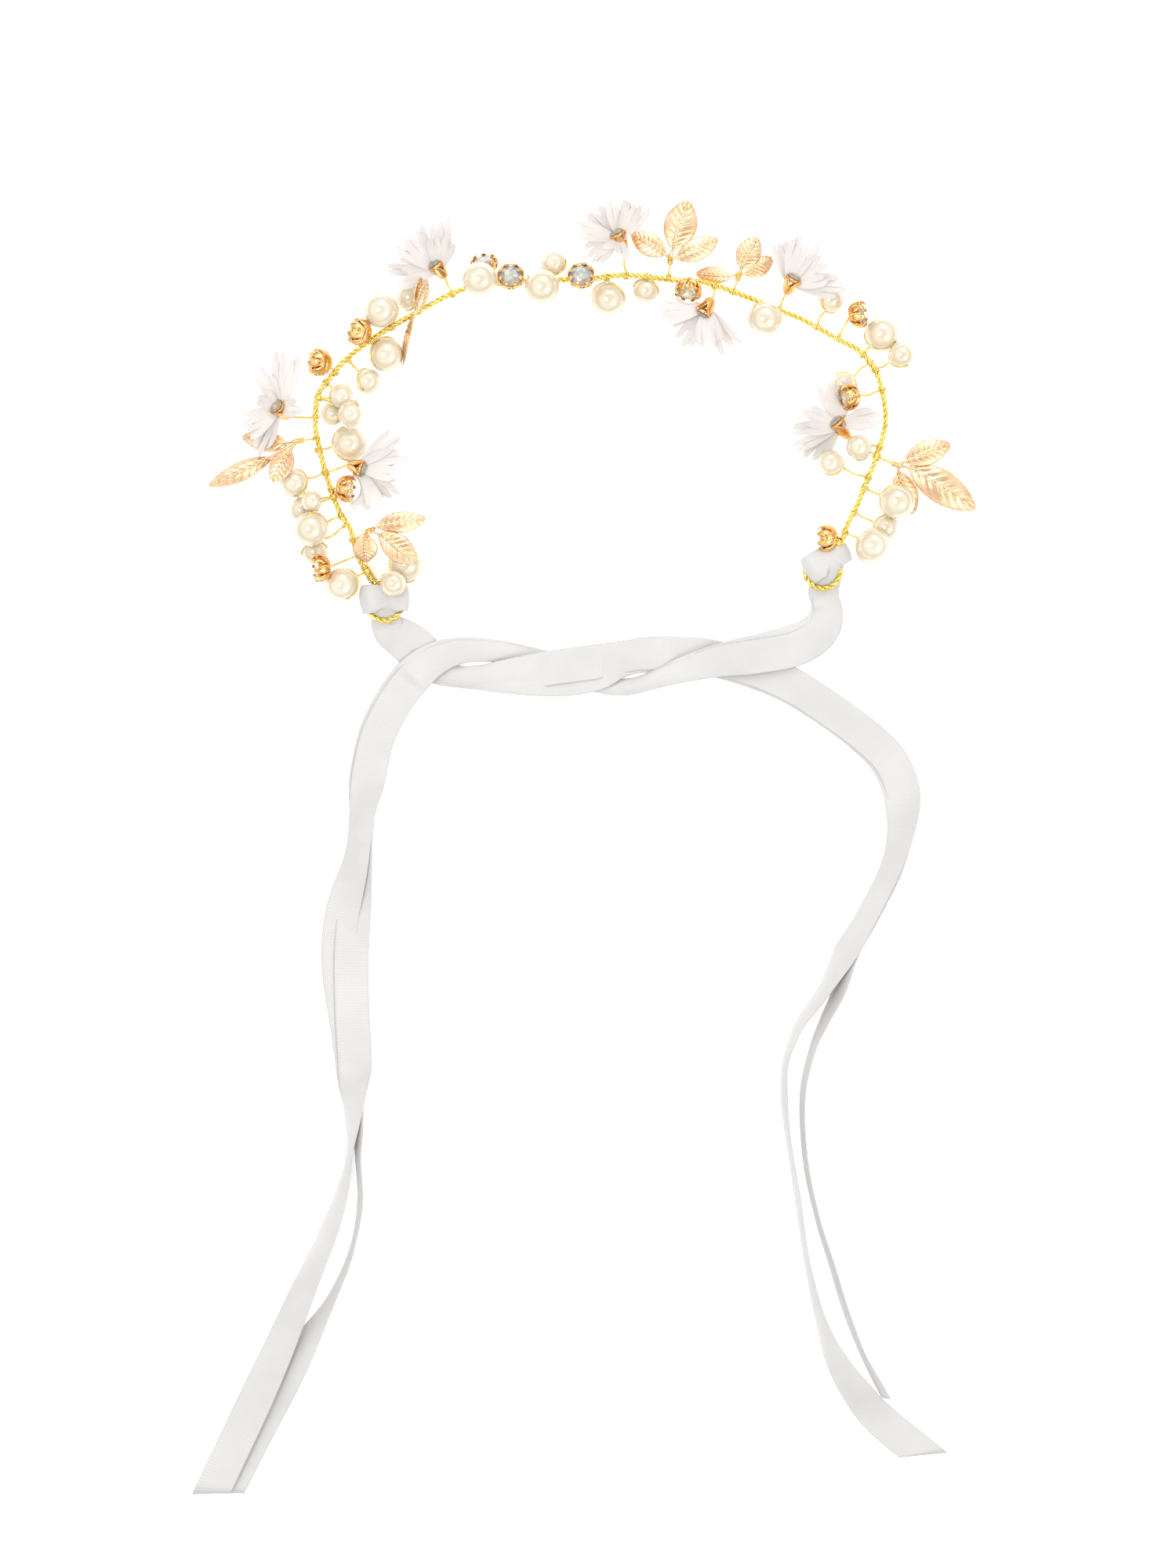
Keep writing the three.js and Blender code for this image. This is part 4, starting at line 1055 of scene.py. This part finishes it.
def laid_rows(stations, layer):
    """The ribbon's laid stretch for the lower (-1) or upper (1) layer: place, width and face."""
    stations = np.array(stations, float)
    along = np.gradient(stations[:, :2], axis=0)
    rows = []
    for (x, y, lift, width, tilt, splay), (ax, ay) in zip(stations, along):
        forward = unit((ax, ay, 0))
        side = np.array((-forward[1], forward[0], 0))
        angle = math.radians(tilt)
        face = math.cos(angle) * np.array((0, 0, 1)) - math.sin(angle) * side
        middle = lift + 0.5 * width * abs(math.sin(angle)) + RIBBON_CLEARANCE
        place = np.array((x, y, middle)) + side * 0.5 * splay * layer + face * 0.5 * LAYER_GAP * layer
        rows.append([*place, width, *face])
    return rows


def ribbon_part(rows, cuts, seed):
    """A closed strip of satin through rows of place, width and face, and its length. Where it is narrower
    than it was woven, its middle bows outwards. Cuts are the slopes of its two ends."""
    rng = np.random.default_rng(seed)
    path = smoothed(rows, 8)
    places, widths, faces = path[:, :3], np.clip(path[:, 3], 3, RIBBON_WIDTH), path[:, 4:]
    forward = np.gradient(places, axis=0)
    steps = np.linalg.norm(forward, axis=1)
    forward /= steps[:, None]
    faces = faces - forward * np.sum(faces * forward, axis=1, keepdims=True)
    faces /= np.linalg.norm(faces, axis=1, keepdims=True)
    sides = np.cross(faces, forward)
    run = np.concatenate([[0], np.cumsum(np.linalg.norm(np.diff(places, axis=0), axis=1))])
    q = np.linspace(-1, 1, 25)
    bow = np.minimum(0.9, 0.5 * np.sqrt(np.maximum(0, RIBBON_WIDTH**2 - widths**2)))
    sway = smoothed(rng.normal(0, 0.1, (len(path) // 6 + 3, 1)), 6)[: len(path)]
    fold = bow[:, None] * (1 - q**2) * 0.9 + sway * q
    across = widths[:, None] * q / 2
    grid = places[:, None] + across[..., None] * sides[:, None] + fold[..., None] * faces[:, None]
    for slope, distance in zip(cuts, (run, run[-1] - run)):
        share = np.clip(1 - distance / RIBBON_CUT_REACH, 0, 1) ** 1.5
        slide = share[:, None] * slope * across
        grid = grid + slide[..., None] * forward[:, None]
    grid[..., 2] = np.maximum(grid[..., 2], RIBBON_THICKNESS / 2 + 0.02)
    points, made_faces = slab(grid[:, ::-1], RIBBON_THICKNESS)
    flat = np.dstack(np.broadcast_arrays(run[:, None] / 10, -q / 2)).reshape(-1, 2)
    return Part(points, made_faces, SATIN, True, np.vstack([flat, flat])), run[-1]


def add_ribbon(name, node, ring, turn, strap, tails, cuts, seed):
    """A ribbon folded in half, hitched over its ring and laid in two layers that part into two tails."""
    first = hitch_rows(ring, 1, 0.0, turn) + laid_rows(strap, 1)
    second = hitch_rows(ring, -1, -0.6, turn) + laid_rows(strap, -1)
    first += laid_rows([strap[-1], *tails[0]], 1)[1:]
    second += laid_rows([strap[-1], *tails[1]], -1)[1:]
    made, length = ribbon_part(first[::-1] + second[1:], cuts, seed)
    ribbon = piece(name, [made], [node], body=None)
    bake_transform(ribbon)


# ---- Table, light and camera -------------------------------------------------------------------------


def add_camera():
    """Straight above the middle of the whole piece, looking down."""
    lens_data = bpy.data.cameras.new("camera")
    camera = in_scene("camera", lens_data)
    distance, tall, film = 1.6, 0.4545, 36
    lens_data.sensor_width = film
    lens_data.lens = film * distance / tall
    lens_data.clip_start, lens_data.clip_end = 0.05, 20
    camera.location = (0.001, 0.0185, distance)
    bpy.context.scene.camera = camera


def add_light(name, place, size, power):
    """A square lamp that looks at the middle of the table."""
    lamp = bpy.data.lights.new(name, "AREA")
    lamp.shape, lamp.size, lamp.energy = "SQUARE", size, power
    holder = in_scene(name, lamp)
    holder.location = place
    holder.rotation_euler = (-Vector(place)).to_track_quat("-Z", "Y").to_euler()


def add_studio():
    """A white tent that darkens towards the horizon and round the opening straight above."""
    world = bpy.data.worlds.new("studio")
    world.use_nodes = True
    tree = world.node_tree
    sky = tree.nodes["Background"]
    sky.inputs["Strength"].default_value = 1.3
    place = add_node(tree, "ShaderNodeTexCoord")
    apart = add_node(tree, "ShaderNodeSeparateXYZ")
    ramp = add_node(tree, "ShaderNodeValToRGB")
    steps = [(0.0, 0.2), (0.3, 0.55), (0.6, 1.0), (0.8, 1.0), (0.88, 0.5)]
    while len(ramp.color_ramp.elements) < len(steps):
        ramp.color_ramp.elements.new(0.5)
    for element, (height, light) in zip(ramp.color_ramp.elements, steps):
        element.position, element.color = height, (light, light, light, 1)
    add_links(
        tree,
        (place, "Generated", apart, "Vector"),
        (apart, "Z", ramp, "Fac"),
        (ramp, "Color", sky, "Color"),
    )
    bpy.context.scene.world = world


def add_table_and_light():
    mesh = bpy.data.meshes.new("table")
    reach, height = 3, -0.0004
    corners = [(-reach, -reach), (reach, -reach), (reach, reach), (-reach, reach)]
    mesh.from_pydata([(x, y, height) for x, y in corners], [], [[0, 1, 2, 3]])
    white = finish_of(
        "table white", (0.95, 0.95, 0.95), (0.94, 0.94, 0.94), 0.6, 0.7, 4, 60, 0.02,
        Emission_Color=(1, 1, 1, 1), Emission_Strength=0.4,
    )
    mesh.materials.append(white)
    table = in_scene("table", mesh)
    add_studio()
    add_light("key", (-0.42, 0.1, 1.4), 0.4, 6)
    add_light("fill", (0.9, -0.6, 1.2), 1.0, 4)
    add_light("back", (0.2, 1.1, 0.8), 0.8, 3)
    bpy.context.scene.view_settings.view_transform = "Standard"


add_camera()
add_table_and_light()
add_band()
add_pearls()
add_rhinestones()
add_flowers()
add_sprigs()
add_ribbon("left_satin", "left_ribbon", LEFT_RING, 0.0, LEFT_STRAP, LEFT_TAILS, LEFT_CUTS, 31)
add_ribbon(
    "right_satin", "right_ribbon", RIGHT_RING, 0.5, RIGHT_STRAP, RIGHT_TAILS, RIGHT_CUTS, 32
)
